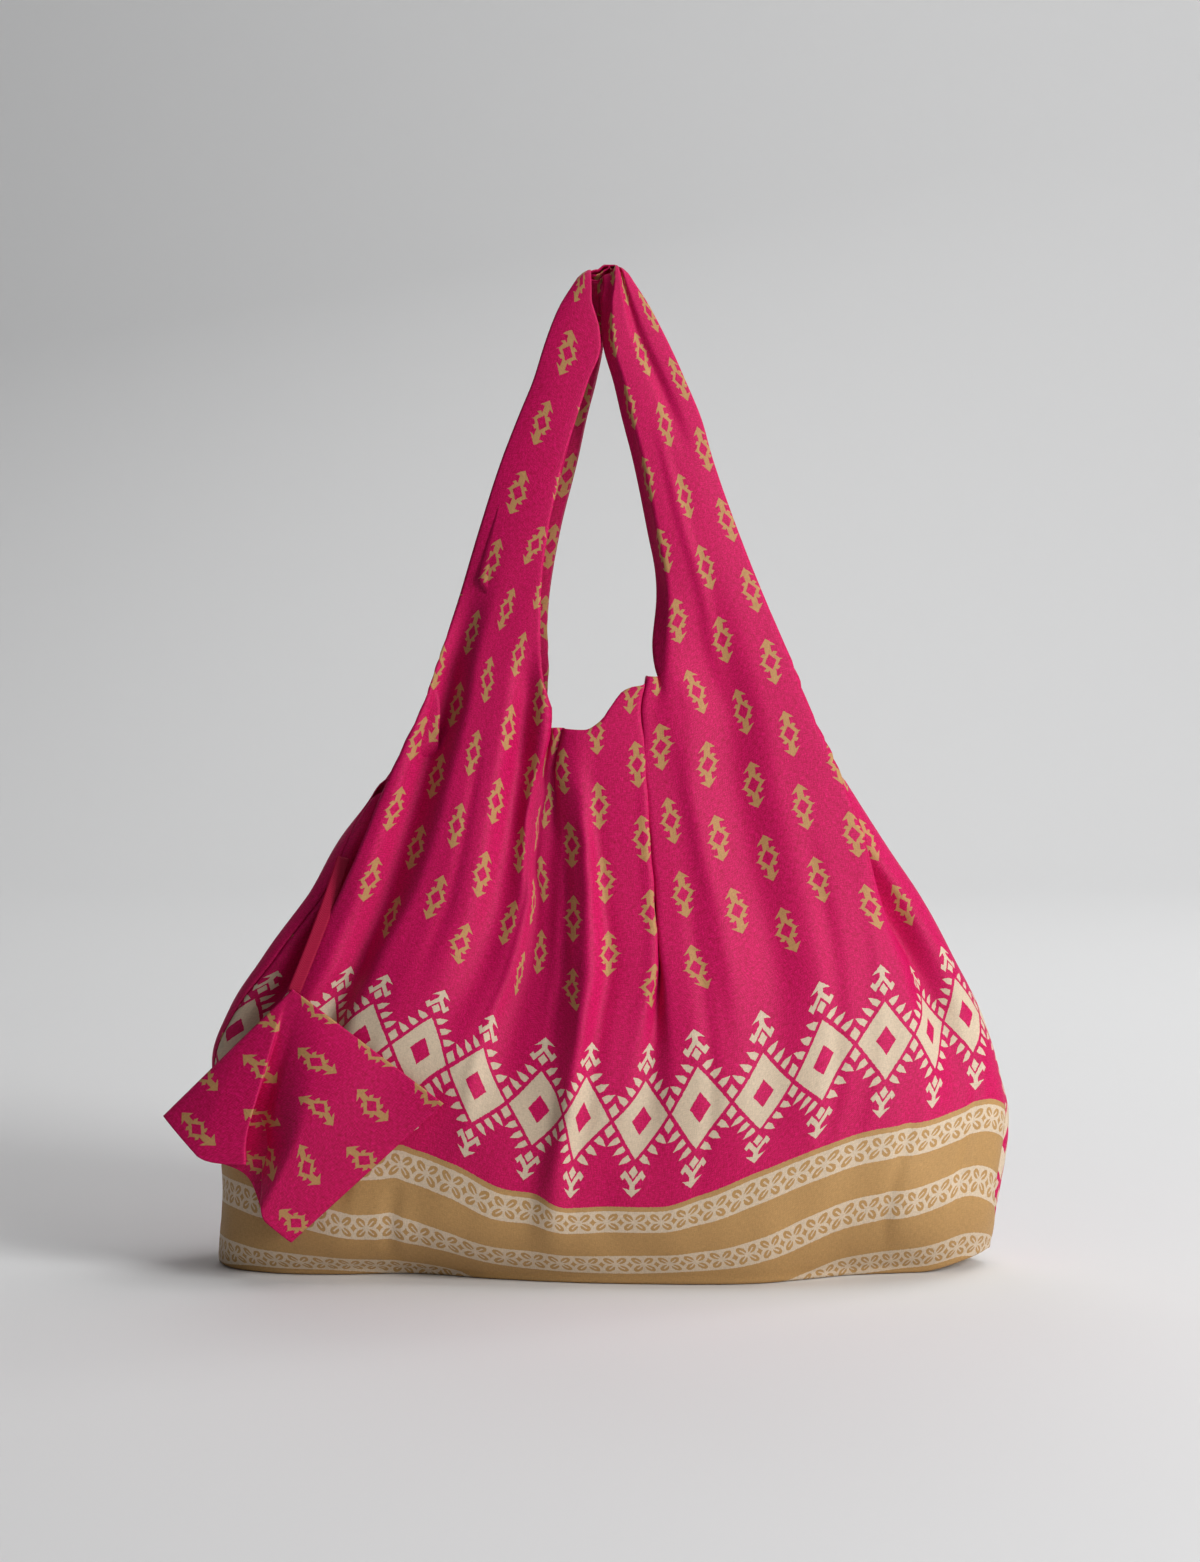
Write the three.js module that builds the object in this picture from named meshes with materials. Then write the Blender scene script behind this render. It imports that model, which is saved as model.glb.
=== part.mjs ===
import * as THREE from 'three';

// Reusable shopping bag of printed cloth, hung by its gathered handles with its base spread on a surface.
// Units are millimetres. +X is the bag's right as seen from the front, +Y its back, +Z up.
// Each panel is a flat vest-shaped cut. A place on it is named by u, its distance across from the
// middle of the cut, and by its height z once the bag hangs.

const clothThickness = 1.6;
const seamGap = 0.4;
const baseRound = 4;
const bottomSeamHalf = 190;

// The flat cut: half width below the armholes, and how far out the two straps reach.
const cut = { half: 255, strapOuter: 195, neckLeft: -88, neckRight: 68 };

// Outline of the hanging bag by height. left and right are the silhouette, front and back the depth
// each side of the bottom seam, power the roundness of the section, seamLeft and seamRight how far
// each side seam lies round towards the front.
const sections = [
  { z: 0, left: -207, right: 207, front: 58, back: 60, power: 2.7, seamLeft: 3, seamRight: 3 },
  { z: 40, left: -210, right: 217, front: 62, back: 64, power: 2.7, seamLeft: 5, seamRight: 10 },
  { z: 80, left: -214, right: 222, front: 62, back: 64, power: 2.6, seamLeft: 7, seamRight: 9 },
  { z: 110, left: -213, right: 217, front: 60, back: 62, power: 2.5, seamLeft: 10, seamRight: -2 },
  { z: 140, left: -202, right: 207, front: 57, back: 59, power: 2.4, seamLeft: 17, seamRight: -12 },
  { z: 170, left: -186, right: 192, front: 53, back: 55, power: 2.3, seamLeft: 26, seamRight: -20 },
  { z: 200, left: -165, right: 175, front: 49, back: 50, power: 2.2, seamLeft: 26, seamRight: -25 },
  { z: 230, left: -144, right: 155, front: 45, back: 46, power: 2.1, seamLeft: 19, seamRight: -28 },
  { z: 252, left: -127, right: 141, front: 42, back: 43, power: 2, seamLeft: 8, seamRight: -28 },
  { z: 270, left: -116, right: 130, front: 39, back: 40, power: 2, seamLeft: 4, seamRight: -24 },
  { z: 290, left: -103, right: 120, front: 36, back: 37, power: 2, seamLeft: 4, seamRight: -10 },
  { z: 310, left: -94, right: 111, front: 33, back: 34, power: 2, seamLeft: 4, seamRight: 0 },
  { z: 360, left: -77, right: 90, front: 27, back: 28, power: 2, seamLeft: 4, seamRight: 0 },
  { z: 440, left: -52, right: 60, front: 19, back: 20, power: 2, seamLeft: 3, seamRight: 0 },
  { z: 520, left: -21, right: 28, front: 11, back: 12, power: 2, seamLeft: 2, seamRight: 0 },
  { z: 543, left: -10, right: 13, front: 9, back: 10, power: 2, seamLeft: 2, seamRight: 0 },
];

// How much of the cut each level holds, from its middle out to the left and to the right. The armholes
// bite into it above the side seams.
const clothReach = [
  { z: 0, left: 255, right: 255 },
  { z: 254, left: 255, right: 255 },
  { z: 264, left: 242, right: 252 },
  { z: 275, left: 228, right: 212 },
  { z: 290, left: 214, right: 172 },
  { z: 310, left: 205, right: 158 },
  { z: 360, left: 196, right: 150 },
  { z: 543, left: 190, right: 145 },
];

// The visible face of each strap by height: xIn and xOut are its edges, uIn and uOut the cloth there.
// Cloth past those edges is curled round behind the face.
const strapFaces = {
  frontLeft: [
    { z: 200, xIn: -42, xOut: -143, uIn: 88, uOut: 207 },
    { z: 230, xIn: -38, xOut: -129, uIn: 88, uOut: 205 },
    { z: 260, xIn: -34, xOut: -117, uIn: 88, uOut: 204 },
    { z: 280, xIn: -31, xOut: -108, uIn: 88, uOut: 201 },
    { z: 310, xIn: -30, xOut: -94, uIn: 90, uOut: 196 },
    { z: 360, xIn: -30, xOut: -77, uIn: 115, uOut: 187 },
    { z: 400, xIn: -30, xOut: -65, uIn: 140, uOut: 182 },
    { z: 440, xIn: -22, xOut: -52, uIn: 148, uOut: 182 },
    { z: 480, xIn: -13, xOut: -36, uIn: 148, uOut: 182 },
    { z: 520, xIn: -4, xOut: -21, uIn: 150, uOut: 180 },
    { z: 543, xIn: -3, xOut: -10, uIn: 155, uOut: 175 },
  ],
  frontRight: [
    { z: 200, xIn: 50, xOut: 152, uIn: 66, uOut: 165 },
    { z: 230, xIn: 44, xOut: 144, uIn: 66, uOut: 164 },
    { z: 260, xIn: 39, xOut: 133, uIn: 66, uOut: 160 },
    { z: 280, xIn: 35, xOut: 125, uIn: 66, uOut: 156 },
    { z: 310, xIn: 31, xOut: 111, uIn: 67, uOut: 150 },
    { z: 335, xIn: 35, xOut: 101, uIn: 73, uOut: 145 },
    { z: 360, xIn: 37, xOut: 90, uIn: 82, uOut: 141 },
    { z: 400, xIn: 31, xOut: 74, uIn: 86, uOut: 139 },
    { z: 440, xIn: 24, xOut: 60, uIn: 87, uOut: 139 },
    { z: 480, xIn: 16, xOut: 47, uIn: 87, uOut: 139 },
    { z: 520, xIn: 6, xOut: 28, uIn: 88, uOut: 138 },
    { z: 543, xIn: 3.5, xOut: 13, uIn: 90, uOut: 135 },
  ],
  backLeft: [
    { z: 230, xIn: -45, xOut: -140, uIn: 92, uOut: 205 },
    { z: 270, xIn: -36, xOut: -114, uIn: 92, uOut: 198 },
    { z: 310, xIn: -31, xOut: -92, uIn: 94, uOut: 186 },
    { z: 360, xIn: -28, xOut: -74, uIn: 98, uOut: 170 },
    { z: 400, xIn: -21, xOut: -62, uIn: 100, uOut: 162 },
    { z: 440, xIn: -13, xOut: -49, uIn: 100, uOut: 158 },
    { z: 480, xIn: -6, xOut: -33, uIn: 102, uOut: 156 },
    { z: 520, xIn: -3, xOut: -19, uIn: 104, uOut: 154 },
    { z: 543, xIn: -3, xOut: -9, uIn: 110, uOut: 150 },
  ],
  backRight: [
    { z: 230, xIn: 48, xOut: 146, uIn: 90, uOut: 198 },
    { z: 270, xIn: 42, xOut: 126, uIn: 90, uOut: 190 },
    { z: 310, xIn: 38, xOut: 107, uIn: 92, uOut: 176 },
    { z: 360, xIn: 39, xOut: 87, uIn: 96, uOut: 166 },
    { z: 400, xIn: 33, xOut: 71, uIn: 100, uOut: 162 },
    { z: 440, xIn: 26, xOut: 57, uIn: 100, uOut: 158 },
    { z: 480, xIn: 17, xOut: 44, uIn: 102, uOut: 156 },
    { z: 520, xIn: 8, xOut: 26, uIn: 104, uOut: 154 },
    { z: 543, xIn: 4, xOut: 12, uIn: 110, uOut: 150 },
  ],
};

// Folds of a panel. at is where the fold lies across the cut at the height foldLevel, lean how far it
// moves across for each mm of height, width the cloth it works in, take the cloth it swallows.
// It starts at the height from and is full at the height full. way is 1 for a valley, -1 for a ridge.
// One marked strap runs on up the strap and fades there.
const frontFolds = [
  { name: 'left groove', at: -231, lean: 0, width: 50, take: 38, from: 85, full: 225, way: 1 },
  { name: 'left hollow', at: -176, lean: 0, width: 44, take: 11, from: 80, full: 170, way: 1, strap: true },
  { name: 'left dip', at: -108, lean: 0, width: 38, take: 10, from: 130, full: 320, way: 1, strap: true },
  { name: 'deep valley', at: -66, lean: 0, width: 60, take: 46, from: 70, full: 290, way: 1 },
  { name: 'crease', at: -20, lean: 0, width: 28, take: 6, from: 5, full: 90, way: -1 },
  { name: 'tuck', at: 38, lean: 0, width: 40, take: 32, from: 85, full: 235, way: 1 },
  { name: 'right dip', at: 100, lean: 0, width: 50, take: 3, from: 60, full: 240, way: 1, strap: true },
  { name: 'right groove', at: 186, lean: -0.15, width: 58, take: 50, from: 80, full: 225, way: 1 },
];
const backFolds = [
  { name: 'left groove', at: -222, lean: 0, width: 48, take: 34, from: 100, full: 240, way: 1 },
  { name: 'left valley', at: -128, lean: 0, width: 50, take: 26, from: 70, full: 240, way: 1, strap: true },
  { name: 'left ridge', at: -82, lean: 0, width: 34, take: 6, from: 60, full: 220, way: -1 },
  { name: 'middle valley', at: -18, lean: 0, width: 62, take: 44, from: 60, full: 280, way: 1 },
  { name: 'right ridge', at: 42, lean: 0, width: 34, take: 6, from: 60, full: 220, way: -1 },
  { name: 'right valley', at: 104, lean: 0, width: 50, take: 28, from: 80, full: 260, way: 1, strap: true },
  { name: 'right groove', at: 214, lean: 0, width: 48, take: 36, from: 90, full: 230, way: 1 },
];
const foldLevel = 220;
const strapFoldFade = { from: 300, over: 100 };

// Height of the cut edge over each place across the panel: armhole, strap root, neck, strap root, armhole.
const frontEdge = [
  { u: -255, z: 254 },
  { u: -245, z: 262 },
  { u: -225, z: 280 },
  { u: -195, z: 318 },
  { u: -88, z: 316 },
  { u: -62, z: 300 },
  { u: -30, z: 293 },
  { u: 0, z: 299 },
  { u: 22, z: 312 },
  { u: 44, z: 320 },
  { u: 72, z: 326 },
  { u: 195, z: 326 },
  { u: 225, z: 292 },
  { u: 245, z: 272 },
  { u: 255, z: 264 },
];
const backEdge = [
  { u: -255, z: 254 },
  { u: -245, z: 262 },
  { u: -225, z: 280 },
  { u: -195, z: 318 },
  { u: -88, z: 308 },
  { u: -60, z: 284 },
  { u: -25, z: 272 },
  { u: 10, z: 272 },
  { u: 45, z: 284 },
  { u: 72, z: 308 },
  { u: 195, z: 326 },
  { u: 225, z: 292 },
  { u: 245, z: 272 },
  { u: 255, z: 264 },
];
const strapTop = 543;

// How the hanging face turns into the straps: between these heights, outside this distance from the middle.
const strapBlend = { low: 190, high: 262, inner: 56, innerDropsAbove: 288, wide: 26 };
// Below the armholes the side strips stay at the seams, from this distance out to the seam.
const sideStrip = { from: 205, over: 40, frees: 265, free: 290 };
const curl = { radius: 2.1, start: 316, full: 350, share: 0.88 };
const strapSlant = 0.3;
// The right front strap's hem turns back into the hand hole instead: so far across, and so deep.
const hemStrip = { across: 0.3, inward: 0.9, deepest: 0.65 };

// The base corner on the right is lifted a little off the surface.
const cornerLift = { height: 8, from: 170, over: 46, fade: 90 };

// In the straps the columns of the grid bend over to follow the fold lines: of each strap these two
// columns run along the inner and the outer fold, from the height full up.
const foldColumns = {
  frontLeft: { inner: 110, outer: 188 },
  frontRight: { inner: 80, outer: 146 },
  backLeft: { inner: 100, outer: 176 },
  backRight: { inner: 100, outer: 170 },
};
const foldFollow = { near: 6, from: 316, full: 356 };

const panelGrid = { step: 15, wallRows: 17, strapRows: 12, loopSteps: 72, gatherSteps: 200 };

function clamp(value, low, high) {
  return Math.min(high, Math.max(low, value));
}

function smooth(t) {
  const s = clamp(t, 0, 1);
  return s * s * (3 - 2 * s);
}

function mix(a, b, t) {
  return a + (b - a) * t;
}

// Reads one column of a table at a place along it, on a curve through the rows.
function read(table, key, along, column) {
  const last = table.length - 1;
  if (along <= table[0][key]) return table[0][column];
  if (along >= table[last][key]) return table[last][column];
  let i = 0;
  while (table[i + 1][key] < along) i += 1;
  const gap = (n) => table[n + 1][key] - table[n][key];
  const rise = (n) => (table[n + 1][column] - table[n][column]) / gap(n);
  const slope = (n) => {
    if (n === 0) return rise(0);
    if (n === last) return rise(last - 1);
    if (rise(n - 1) * rise(n) <= 0) return 0;
    return (rise(n - 1) * gap(n) + rise(n) * gap(n - 1)) / (gap(n - 1) + gap(n));
  };
  const span = gap(i);
  const t = (along - table[i][key]) / span;
  const a = 2 * t * t * t - 3 * t * t + 1;
  const b = t * t * t - 2 * t * t + t;
  const c = t * t * t - t * t;
  return a * table[i][column] + (1 - a) * table[i + 1][column] + span * (b * slope(i) + c * slope(i + 1));
}

// Half a closed section: a rounded outline from the far left to the far right, with its running length.
function halfLoop(section, depth) {
  const middle = (section.left + section.right) / 2;
  const reach = (section.right - section.left) / 2;
  const points = [];
  for (let i = 0; i <= panelGrid.loopSteps; i += 1) {
    const angle = (Math.PI * i) / panelGrid.loopSteps;
    const c = -Math.cos(angle);
    const x = middle + reach * Math.sign(c) * Math.abs(c) ** (2 / section.power);
    const y = depth * Math.abs(Math.sin(angle)) ** (2 / section.power);
    const before = points[i - 1];
    const run = before ? before.run + Math.hypot(x - before.x, y - before.y) : 0;
    points.push({ x, y, run });
  }
  return points;
}

function pointOnHalf(points, run) {
  const total = points[points.length - 1].run;
  const wanted = clamp(run, 0, total);
  let low = 0;
  let high = points.length - 1;
  while (high - low > 1) {
    const half = (low + high) >> 1;
    if (points[half].run <= wanted) low = half;
    else high = half;
  }
  const t = (wanted - points[low].run) / (points[high].run - points[low].run);
  return { x: mix(points[low].x, points[high].x, t), y: mix(points[low].y, points[high].y, t) };
}

// Share of the cloth that the folds swallow at one place, and how far they push it in.
function foldsAt(folds, u, z, onlyStrap = false) {
  let gather = 0;
  let push = 0;
  for (const fold of folds) {
    if (onlyStrap && !fold.strap) continue;
    const ramp = smooth((z - fold.from) / (fold.full - fold.from));
    const take = fold.take * ramp;
    const place = Math.abs(u - fold.at - fold.lean * (z - foldLevel)) / (fold.width / 2);
    if (place >= 1 || take <= 0) continue;
    gather += (take / (0.8 * fold.width)) * smooth((1 - place) / 0.4);
    const share = Math.min(take / fold.width, 0.96);
    push += fold.way * (fold.width / 2) * 0.9 * Math.sqrt(1 - (1 - share) ** 2) * smooth(1 - place);
  }
  return { gather, push };
}

// One level of a panel: the closed section it follows and how its cloth is spread along it.
function makeRow(side, folds, z) {
  const section = {};
  for (const column of Object.keys(sections[0])) section[column] = read(sections, 'z', z, column);
  const front = halfLoop(section, -section.front);
  const back = halfLoop(section, section.back);
  const frontRun = front[front.length - 1].run;
  const backRun = back[back.length - 1].run;
  const own = side < 0 ? frontRun : backRun;
  const start = section.seamLeft * -side + seamGap / 2;
  const end = own + section.seamRight * side - seamGap / 2;
  const pointAt = (run) => {
    const mine = side < 0 ? front : back;
    const other = side < 0 ? back : front;
    const otherRun = side < 0 ? backRun : frontRun;
    if (run < 0) return pointOnHalf(other, -run);
    if (run > own) return pointOnHalf(other, otherRun - (run - own));
    return pointOnHalf(mine, run);
  };
  const first = -read(clothReach, 'z', z, 'left');
  const step = (read(clothReach, 'z', z, 'right') - first) / panelGrid.gatherSteps;
  const spread = [0];
  for (let i = 0; i < panelGrid.gatherSteps; i += 1) {
    const free = 1 - foldsAt(folds, first + (i + 0.5) * step, z).gather;
    spread.push(spread[i] + free * step);
  }
  const total = spread[spread.length - 1];
  return (u) => {
    const place = clamp((u - first) / step, 0, panelGrid.gatherSteps);
    const i = Math.min(Math.floor(place), panelGrid.gatherSteps - 1);
    const run = start + ((end - start) * mix(spread[i], spread[i + 1], place - i)) / total;
    const here = pointAt(run);
    const a = pointAt(run - 1);
    const b = pointAt(run + 1);
    const length = Math.hypot(b.x - a.x, b.y - a.y);
    const normal = { x: (side * (a.y - b.y)) / length, y: (side * (b.x - a.x)) / length };
    return { x: here.x, y: here.y, normal };
  };
}

// The face of a strap with the cloth past its two edges curled behind it.
function strapPoint(side, faces, u, z, straightStrip) {
  const face = {};
  for (const column of Object.keys(faces[0])) face[column] = read(faces, 'z', z, column);
  const depth = read(sections, 'z', z, side < 0 ? 'front' : 'back');
  const out = Math.sign(u);
  const a = Math.abs(u);
  const width = Math.abs(face.xOut - face.xIn);
  const t = clamp((a - face.uIn) / (face.uOut - face.uIn), 0, 1);
  let x = mix(face.xIn, face.xOut, t);
  let y = side * depth * (1 - strapSlant * t * t);
  const roll = (past, limit) => {
    const q = past * Math.min(1, (curl.share * width) / Math.max(limit, 1));
    const across = Math.sqrt(q * q + curl.radius ** 2) - curl.radius;
    const inward = (2 * curl.radius * q) / Math.sqrt(q * q + (1.5 * curl.radius) ** 2);
    return { across, inward };
  };
  if (a < face.uIn) {
    const past = face.uIn - a;
    const curled = smooth((z - curl.start) / (curl.full - curl.start));
    if (straightStrip) {
      const deepest = hemStrip.deepest * depth;
      x -= out * past * mix(1, hemStrip.across, curled);
      y -= side * deepest * (1 - Math.exp((-hemStrip.inward * past) / deepest)) * curled;
    } else {
      const rolled = roll(past, face.uIn - Math.abs(out < 0 ? cut.neckLeft : cut.neckRight));
      x += out * mix(-past, rolled.across, curled);
      y -= side * rolled.inward * curled;
    }
  }
  if (a > face.uOut) {
    const rolled = roll(a - face.uOut, cut.strapOuter - face.uOut);
    x -= out * rolled.across;
    y -= side * rolled.inward;
  }
  return { x, y };
}

function lift(point) {
  const rise = smooth((point.x - cornerLift.from) / cornerLift.over) * (1 - smooth(point.z / cornerLift.fade));
  return new THREE.Vector3(point.x, point.y, point.z + cornerLift.height * rise);
}

// A panel as a function of the place across the cut and the height.
function makePanel(side, folds, leftFaces, rightFaces) {
  const rows = new Map();
  const rowAt = (z) => {
    const key = z.toFixed(2);
    if (!rows.has(key)) rows.set(key, makeRow(side, folds, z));
    return rows.get(key);
  };
  const wall = (u, z) => {
    const row = rowAt(z)(u);
    const push = foldsAt(folds, u, z).push;
    let x = row.x - row.normal.x * push;
    let y = row.y - row.normal.y * push;
    const inner = strapBlend.inner - Math.max(0, z - strapBlend.innerDropsAbove);
    const high = smooth((z - strapBlend.low) / (strapBlend.high - strapBlend.low));
    const atSeam = smooth((Math.abs(u) - sideStrip.from) / sideStrip.over);
    const freed = smooth((z - sideStrip.frees) / (sideStrip.free - sideStrip.frees));
    const weight = high * smooth((Math.abs(u) - inner) / strapBlend.wide) * mix(1 - atSeam, 1, freed);
    if (weight > 0) {
      const faces = u < 0 ? leftFaces : rightFaces;
      const strap = strapPoint(side, faces, u, z, side < 0 && u > 0);
      const strapFolds = foldsAt(folds, u, z, true).push;
      const fade = 1 - smooth((z - strapFoldFade.from) / strapFoldFade.over);
      x = mix(x, strap.x, weight);
      y = mix(y, strap.y - side * strapFolds * fade, weight);
    }
    return new THREE.Vector3(x, y, z);
  };
  // Outward direction at a side seam, the same for both panels so that their edges meet square.
  const seamNormal = (u, z, step) => {
    const { normal } = rowAt(z)(u);
    const angle = (Math.max(step, 0) * Math.PI) / 4;
    const out = Math.sin(angle);
    return new THREE.Vector3(normal.x * out, normal.y * out, -Math.cos(angle));
  };
  const floor = (u, step) => {
    const wallFoot = baseRound + clothThickness / 2;
    const row = rowAt(wallFoot)(u);
    const inset = (by) => ({ x: row.x - row.normal.x * by, y: row.y - row.normal.y * by });
    if (step > 0) {
      const angle = (step * Math.PI) / 4;
      const foot = inset(baseRound * (1 - Math.sin(angle)));
      return new THREE.Vector3(foot.x, foot.y, clothThickness / 2 + baseRound * (1 - Math.cos(angle)));
    }
    const rim = inset(baseRound);
    const seamX = (u / cut.half) * bottomSeamHalf;
    const seamY = (side * seamGap) / 2;
    const share = [1, 0.9, 0.45, 0][-step];
    return new THREE.Vector3(mix(seamX, rim.x, share), mix(seamY, rim.y, share), clothThickness / 2);
  };
  return { wall, floor, seamNormal };
}

// Columns of the grid: fold middles and edges, strap and neck edges, then evenly between them.
function columnsFor(folds, left, right) {
  const marks = [-cut.half, -cut.strapOuter, cut.neckLeft, cut.neckRight, cut.strapOuter, cut.half];
  for (const fold of [-left.outer, -left.inner, right.inner, right.outer]) {
    marks.push(fold, fold - Math.sign(fold) * foldFollow.near);
  }
  for (const fold of folds) {
    for (const place of [-0.5, -0.22, 0, 0.22, 0.5]) {
      const u = fold.at + place * fold.width;
      if (marks.every((mark) => Math.abs(mark - u) > 6)) marks.push(u);
    }
  }
  marks.sort((a, b) => a - b);
  const columns = [marks[0]];
  for (let i = 1; i < marks.length; i += 1) {
    const parts = Math.ceil((marks[i] - marks[i - 1]) / panelGrid.step);
    for (let k = 1; k <= parts; k += 1) columns.push(mix(marks[i - 1], marks[i], k / parts));
  }
  return columns;
}

// Gives a middle surface its thickness: both faces and a wall round every free edge.
function thicken(points, quads, thickness, fixedNormals = new Map()) {
  const triangles = [];
  for (const [a, b, c, d] of quads) triangles.push([a, b, c], [a, c, d]);
  const normals = points.map(() => new THREE.Vector3());
  const edges = new Map();
  for (const [a, b, c] of triangles) {
    const ab = points[b].clone().sub(points[a]);
    const face = ab.cross(points[c].clone().sub(points[a]));
    for (const i of [a, b, c]) normals[i].add(face);
    for (const [p, q] of [[a, b], [b, c], [c, a]]) {
      if (edges.has(`${q},${p}`)) edges.delete(`${q},${p}`);
      else edges.set(`${p},${q}`, [p, q]);
    }
  }
  for (const [i, normal] of fixedNormals) normals[i].copy(normal);
  const count = points.length;
  const positions = new Float32Array(count * 6);
  points.forEach((point, i) => {
    const offset = normals[i].normalize().multiplyScalar(thickness / 2);
    point.clone().add(offset).toArray(positions, i * 3);
    point.clone().sub(offset).toArray(positions, (i + count) * 3);
  });
  const index = [];
  for (const [a, b, c] of triangles) index.push(a, b, c, a + count, c + count, b + count);
  for (const [p, q] of edges.values()) index.push(q, p, p + count, q, p + count, q + count);
  const geometry = new THREE.BufferGeometry();
  geometry.setAttribute('position', new THREE.BufferAttribute(positions, 3));
  geometry.setIndex(index);
  return geometry;
}

// Where a column of the grid lies across the cut at a height in the strap.
function followFolds(faces, columns, u, z) {
  const hem = u < 0 ? -cut.neckLeft : cut.neckRight;
  const a = Math.abs(u);
  const inner = Math.max(read(faces, 'z', z, 'uIn'), hem + foldFollow.near);
  const outer = read(faces, 'z', z, 'uOut');
  let target = mix(inner, outer, (a - columns.inner) / (columns.outer - columns.inner));
  if (a < columns.inner) target = mix(hem, inner, (a - hem) / (columns.inner - hem));
  if (a > columns.outer) {
    target = mix(outer, cut.strapOuter, (a - columns.outer) / (cut.strapOuter - columns.outer));
  }
  const followed = smooth((z - foldFollow.from) / (foldFollow.full - foldFollow.from));
  return Math.sign(u) * mix(a, target, followed);
}

function panelGeometry(side, folds, edge, left, right) {
  const panel = makePanel(side, folds, strapFaces[left], strapFaces[right]);
  const columns = columnsFor(folds, foldColumns[left], foldColumns[right]);
  const floorSteps = [-3, -2, -1, 0, 1, 2];
  const foot = baseRound + clothThickness / 2;
  const points = [];
  const fixedNormals = new Map();
  const grid = columns.map((u) => {
    const column = floorSteps.map((step) => panel.floor(u, step));
    const top = read(edge, 'u', u, 'z');
    for (let j = 1; j <= panelGrid.wallRows; j += 1) {
      column.push(panel.wall(u, mix(foot, top, j / panelGrid.wallRows)));
    }
    const inStrap = Math.abs(u) <= cut.strapOuter && (u <= cut.neckLeft || u >= cut.neckRight);
    if (inStrap) {
      for (let k = 1; k <= panelGrid.strapRows; k += 1) {
        const z = mix(top, strapTop, k / panelGrid.strapRows);
        const strap = u < 0 ? left : right;
        column.push(panel.wall(followFolds(strapFaces[strap], foldColumns[strap], u, z), z));
      }
    }
    return column.map((point, j) => {
      const i = points.push(lift(point)) - 1;
      if (Math.abs(u) === cut.half) {
        const step = Math.min(floorSteps[0] + j, 2);
        fixedNormals.set(i, panel.seamNormal(u, Math.max(point.z, foot), step));
      }
      return i;
    });
  });
  const quads = [];
  for (let i = 0; i + 1 < grid.length; i += 1) {
    const u = (columns[i] + columns[i + 1]) / 2;
    const inStrap = Math.abs(u) < cut.strapOuter && (u < cut.neckLeft || u > cut.neckRight);
    const rows = floorSteps.length + panelGrid.wallRows + (inStrap ? panelGrid.strapRows : 0);
    for (let j = 0; j + 1 < rows; j += 1) {
      const quad = [grid[i][j], grid[i + 1][j], grid[i + 1][j + 1], grid[i][j + 1]];
      quads.push(side < 0 ? quad : quad.reverse());
    }
  }
  return thicken(points, quads, clothThickness, fixedNormals);
}

// Stuff pouch: a square of two layers hung by its top corner. Its mouth is the lower left edge, from
// the left tip to the bottom tip. The front layer has one deep pleat running up from the mouth, which
// draws the mouth's hem up in a notch.
const pouch = {
  thickness: 1.2,
  steps: 14,
  top: { x: -164, y: -47, z: 156 },
  left: { x: -234, y: -44, z: 87 },
  right: { x: -82.5, y: -66.5, z: 99 },
  bottom: { x: -164, y: -58, z: 23 },
  frontCrown: 16,
  backCrown: 3,
  pleat: { at: 0.52, width: 0.24, depth: 15 },
  notch: { at: 0.47, width: 0.26, depth: 0.14 },
  mouthLift: 7,
};

// a runs from the mouth to the far edge, b from the lower right edge up to the upper left edge.
function pouchPoint(a, b, layer) {
  const corner = (p, q) => mix(mix(pouch.bottom[p], pouch.right[p], q), mix(pouch.left[p], pouch.top[p], q), b);
  const drawn = pouch.notch.depth * smooth(1 - Math.abs(b - pouch.notch.at) / pouch.notch.width);
  const across = mix(a, 1, layer < 0 ? drawn : drawn / 2);
  const x = corner('x', across);
  const z = corner('z', across);
  let y = corner('y', across);
  const swell = Math.sin(Math.PI * b) ** 0.8 * Math.cos((Math.PI / 2) * a ** 1.6);
  if (layer < 0) {
    const centre = mix(pouch.pleat.at, 1, a);
    const pleat = smooth(1 - Math.abs(b - centre) / pouch.pleat.width) * (1 - a) * Math.sin(Math.PI * b) ** 0.5;
    y -= pouch.frontCrown * swell - pouch.pleat.depth * pleat;
  } else {
    y += pouch.backCrown * swell - pouch.mouthLift * 0.3 * swell;
  }
  const seam = pouch.thickness / 2 + seamGap / 2;
  return new THREE.Vector3(x, y + layer * seam, z);
}

function pouchGeometry(layer) {
  const points = [];
  const n = pouch.steps;
  for (let i = 0; i <= n; i += 1) {
    for (let j = 0; j <= n; j += 1) points.push(pouchPoint(i / n, j / n, layer));
  }
  const quads = [];
  for (let i = 0; i < n; i += 1) {
    for (let j = 0; j < n; j += 1) {
      const a = i * (n + 1) + j;
      const quad = [a, a + n + 1, a + n + 2, a + 1];
      quads.push(layer < 0 ? quad : quad.reverse());
    }
  }
  return thicken(points, quads, pouch.thickness);
}

// Narrow tape from the left side seam down to the pouch's top corner.
const tape = {
  width: 7,
  thickness: 1.2,
  steps: 12,
  start: { x: -138.5, y: -20, z: 224 },
  bend: { x: -147, y: -33, z: 195 },
  end: { x: -163.7, y: -46.9, z: 156.6 },
};

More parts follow.
